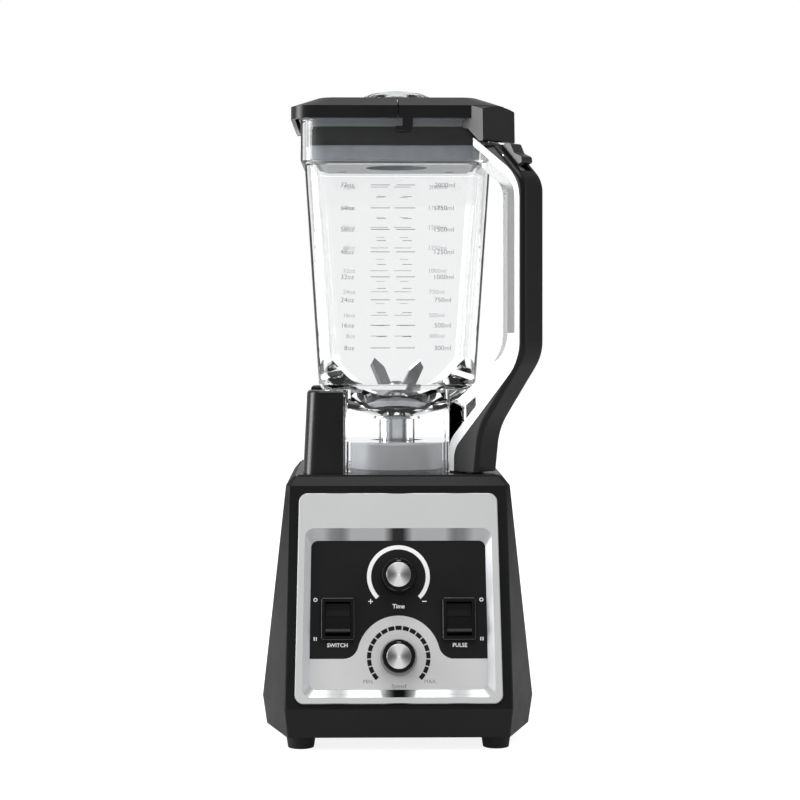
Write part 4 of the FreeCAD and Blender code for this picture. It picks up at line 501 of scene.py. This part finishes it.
def ink(name, colour, gloss=0.4):
    """Printing ink: matt, with a faint mottle from the screen."""
    material, tree, out = blank(name)
    mottle = spread(tree, noise(tree, coordinates(tree), 0.0004, 2.0), 0, 1)
    thin = tuple(c * 0.9 for c in colour[:3]) + (1.0,)
    shader = add(tree, "ShaderNodeBsdfPrincipled", {
        "Base Color": between(tree, mottle, colour, thin),
        "Roughness": spread(tree, mottle, gloss - 0.05, gloss + 0.05, 0, 1)})
    tree.links.new(shader.outputs[0], out.inputs["Surface"])
    return material


white_ink = ink("white_ink", linear(246, 246, 246))
grey_ink = ink("grey_ink", linear(112, 113, 112))
black_ink = ink("black_ink", linear(14, 14, 14))
dark_ink = ink("dark_ink", linear(74, 76, 80))
pale_ink = ink("pale_ink", linear(168, 170, 174))

# %% [markdown]
# ## The panel's print
#
# Both dials turn through three quarters of a circle, open at the bottom. The time dial has a plain white arc. The
# speed dial has nineteen dark blocks on a silver-grey ground, one for each step. The words are the usual ones.

# %% Print the panel
TIME_UP, SPEED_UP, SWITCH_SIDE = 95.3, 36.7, 44.1
DIAL_INNER, DIAL_OUTER = 20.0, 23.0
SWEEP_START, SWEEP = 225.0, -270.0

film("print_time_arc", [arc_band(0, TIME_UP, DIAL_INNER, DIAL_OUTER, SWEEP_START, SWEEP_START + SWEEP, 72)],
     on_panel, white_ink, "base")

blocks = 19
step = SWEEP / blocks
speed_blocks = [arc_band(0, SPEED_UP, DIAL_INNER, DIAL_OUTER, SWEEP_START + step * (number + 0.08),
                         SWEEP_START + step * (number + 0.92), 4) for number in range(blocks)]
film("print_speed_blocks", speed_blocks, on_panel, black_ink, "base")

white_words = [
    word("Time", 0, 73.8, 3.1, weight=0.022), word("SWITCH", -44.4, 45.8, 2.9, weight=0.022),
    word("PULSE", 44.5, 45.8, 2.9, weight=0.022),
    bar(-22.0, -18.6, 77.0, 77.6), bar(-20.6, -20.0, 75.6, 79.0), bar(17.2, 20.6, 77.0, 77.6),
]
film("print_panel_words", white_words, on_panel, white_ink, "base")
grey_words = [word("MIN.", -21.9, 19.8, 2.7, weight=-0.012, wide=0.95), word("MAX.", 23.0, 19.8, 2.7, weight=-0.012, wide=0.95),
              word("Speed", 0, 16.6, 2.9, weight=-0.012)]
film("print_grey_words", grey_words, on_panel, grey_ink, "base")
for side in (-1, 1):
    marks = [word("O", side * 60.5, 78.5, 2.8, weight=0.03)]
    marks += [bar(side * 60.5 + x - 0.35, side * 60.5 + x + 0.35, 49.0, 51.6) for x in (-0.8, 0.8)]
    film("print_switch_marks_%s" % ("left" if side < 0 else "right"), marks, on_panel, white_ink, "base")

# %% [markdown]
# Each knob has a pointer line at its top edge, which turns with it. It is a short raised bar of white on the skirt.

# %% Pointers on the knobs
def pointer(name, up, body):
    def carry(x, y, lift=0.0):
        return on_panel(x, y, lift)
    drawing = bar(-1.5, 1.5, up + 9.8, up + 10.5)
    return film(name, [drawing], lambda x, y, lift=0.0: on_panel(x, y, 14.1 + lift), grey_ink, body)


pointer("pointer_time", TIME_UP, "time_dial")
pointer("pointer_speed", SPEED_UP, "speed_dial")

# %% [markdown]
# ## The volume scale
#
# The jug carries its scale twice, on the front wall and on the back wall, the back one a little higher. Eight rows go
# from 300 to 2000 ml, ounces at the left and millilitres at the right, with a long tick in each row and half ticks
# between rows. Seen from the front, the back print shows through the clear walls as a paler second set.

# %% Print the scale
rows = [(72, 2000), (64, 1750), (56, 1500), (48, 1250), (32, 1000), (24, 750), (16, 500), (8, 300)]
heights = [411.4, 394.3, 378.3, 361.5, 342.8, 325.6, 306.5, 289.5]
TICK, HALF_TICK = 0.42, 0.34


def scale_print(name, carry, raise_by, colour):
    drawings = []
    for (ounces, millilitres), height in zip(rows, heights):
        up = height + raise_by
        drawings += [bar(-20.3, -6.0, up - TICK / 2, up + TICK / 2), bar(-1.0, 13.1, up - TICK / 2, up + TICK / 2),
                     word("%doz" % ounces, -32.7, up, 3.3, "RIGHT", weight=-0.012, wide=1.04),
                     word("%dml" % millilitres, 27.7, up, 3.3, "LEFT", weight=-0.012, wide=1.04)]
    for upper, lower in zip(heights, heights[1:]):
        up = (upper + lower) / 2 + raise_by
        drawings += [bar(-15.7, -8.8, up - HALF_TICK / 2, up + HALF_TICK / 2),
                     bar(3.6, 10.5, up - HALF_TICK / 2, up + HALF_TICK / 2)]
    return film(name, drawings, carry, colour, "jug", 0.03)


scale_print("print_scale_front", on_jug, 0.0, dark_ink)
scale_print("print_scale_back", on_jug_back, 7.6, pale_ink)

# %% [markdown]
# ## Stage and light
#
# The blender stands on a white sheet that is also the background. What the camera sees of it is pure white, and the
# glass and metal see the same white, but the light that falls on the object stays at a plain level. A ray's kind
# decides which of the two it meets. Two tall soft boxes stand left and right, in front, and one lies overhead.

# %% Stage
def paper(name):
    """White to the camera and in reflections, a plain pale sheet for light that falls on it."""
    material, tree, out = blank(name)
    sheet = add(tree, "ShaderNodeBsdfDiffuse", {"Color": (0.4, 0.4, 0.4, 1.0)})
    glow = add(tree, "ShaderNodeEmission", {"Color": (1, 1, 1, 1), "Strength": 1.0})
    path = add(tree, "ShaderNodeLightPath")
    seen = add(tree, "ShaderNodeMath", {0: path.outputs["Is Camera Ray"], 1: path.outputs["Is Transmission Ray"]},
               operation="MAXIMUM").outputs[0]
    seen = add(tree, "ShaderNodeMath", {0: seen, 1: 0.86}, operation="MULTIPLY").outputs[0]
    mirrored = add(tree, "ShaderNodeMath", {0: path.outputs["Is Glossy Ray"], 1: 0.3}, operation="MULTIPLY").outputs[0]
    seen = add(tree, "ShaderNodeMath", {0: seen, 1: mirrored}, operation="MAXIMUM").outputs[0]
    tree.links.new(seen, glow.inputs["Strength"])
    both = add(tree, "ShaderNodeAddShader", {0: sheet.outputs[0], 1: glow.outputs[0]})
    tree.links.new(both.outputs[0], out.inputs["Surface"])
    return material


def flat_sheet(name, half, material):
    mesh = bpy.data.meshes.new(name)
    mesh.from_pydata([(-half, -half, 0), (half, -half, 0), (half, half, 0), (-half, half, 0)], [], [(0, 1, 2, 3)])
    sheet = bpy.data.objects.new(name, mesh)
    bpy.context.collection.objects.link(sheet)
    mesh.materials.append(material)
    return sheet


flat_sheet("worktop", 6.0, paper("worktop_paper")).location.z = -0.0002

world = bpy.data.worlds.new("studio")
bpy.context.scene.world = world
world.use_nodes = True
sky = world.node_tree
sky.nodes.clear()
path = add(sky, "ShaderNodeLightPath")
direction = add(sky, "ShaderNodeTexCoord").outputs["Generated"]
split = add(sky, "ShaderNodeSeparateXYZ", {0: direction})
FRONT_LEVEL, BACK_LEVEL, SIDE_LEVEL, ROOM_LEVEL = 0.1, 0.4, 0.3, 0.84


def by_direction(way, start, end, low, high):
    """A level that goes from low to high as one part of the ray's direction goes from start to end."""
    return add(sky, "ShaderNodeMapRange", {"Value": split.outputs[way], "From Min": start, "From Max": end,
                                           "To Min": low, "To Max": high}).outputs["Result"]


def pick(switch, off, on):
    return add(sky, "ShaderNodeMix", {0: switch, 2: off, 3: on}, data_type="FLOAT").outputs[0]


mirrored = pick(path.outputs["Is Glossy Ray"], ROOM_LEVEL, by_direction("Y", -0.6, 0.3, FRONT_LEVEL, BACK_LEVEL))
through = pick(path.outputs["Is Transmission Ray"], mirrored, by_direction("Y", 0.3, 0.85, SIDE_LEVEL, 1.0))
level = pick(path.outputs["Is Camera Ray"], through, 1.0)
background = add(sky, "ShaderNodeBackground", {"Color": (1, 1, 1, 1), "Strength": level})
sky.links.new(background.outputs[0], add(sky, "ShaderNodeOutputWorld").inputs["Surface"])

# %% Lamps
def soft_box(name, place, target, width, height, power):
    lamp = bpy.data.lights.new(name, "AREA")
    lamp.shape = "RECTANGLE"
    lamp.size, lamp.size_y = width, height
    lamp.energy = power
    holder = bpy.data.objects.new(name, lamp)
    bpy.context.collection.objects.link(holder)
    holder.location = place
    holder.rotation_euler = (Vector(target) - Vector(place)).to_track_quat("-Z", "Y").to_euler()
    return holder


soft_box("box_left", (-1.5, -0.25, 0.45), (0, 0, 0.28), 0.7, 1.6, 28)
soft_box("box_right", (1.6, -0.7, 0.5), (0, 0, 0.28), 0.35, 1.4, 6)
soft_box("box_above", (0, -0.5, 1.9), (0, 0, 0.3), 1.2, 0.8, 16)

# %% [markdown]
# ## Camera
#
# A long lens from about a metre and a half, at the height of the jug. The camera looks level, so uprights stay
# upright, and a small downward shift brings the feet into the frame.

# %% Camera
DISTANCE, EYE, TURN = 1.480, 0.3105, math.radians(-0.85)
camera_data = bpy.data.cameras.new("camera")
camera_data.lens, camera_data.sensor_width = 85, 36
camera_data.shift_x, camera_data.shift_y = 0.0045, -0.1
camera = bpy.data.objects.new("camera", camera_data)
bpy.context.collection.objects.link(camera)
camera.location = (DISTANCE * math.sin(TURN), -DISTANCE * math.cos(TURN), EYE)
camera.rotation_euler = (math.radians(90), 0, TURN)
bpy.context.scene.camera = camera
bpy.context.scene.view_settings.view_transform = "Standard"
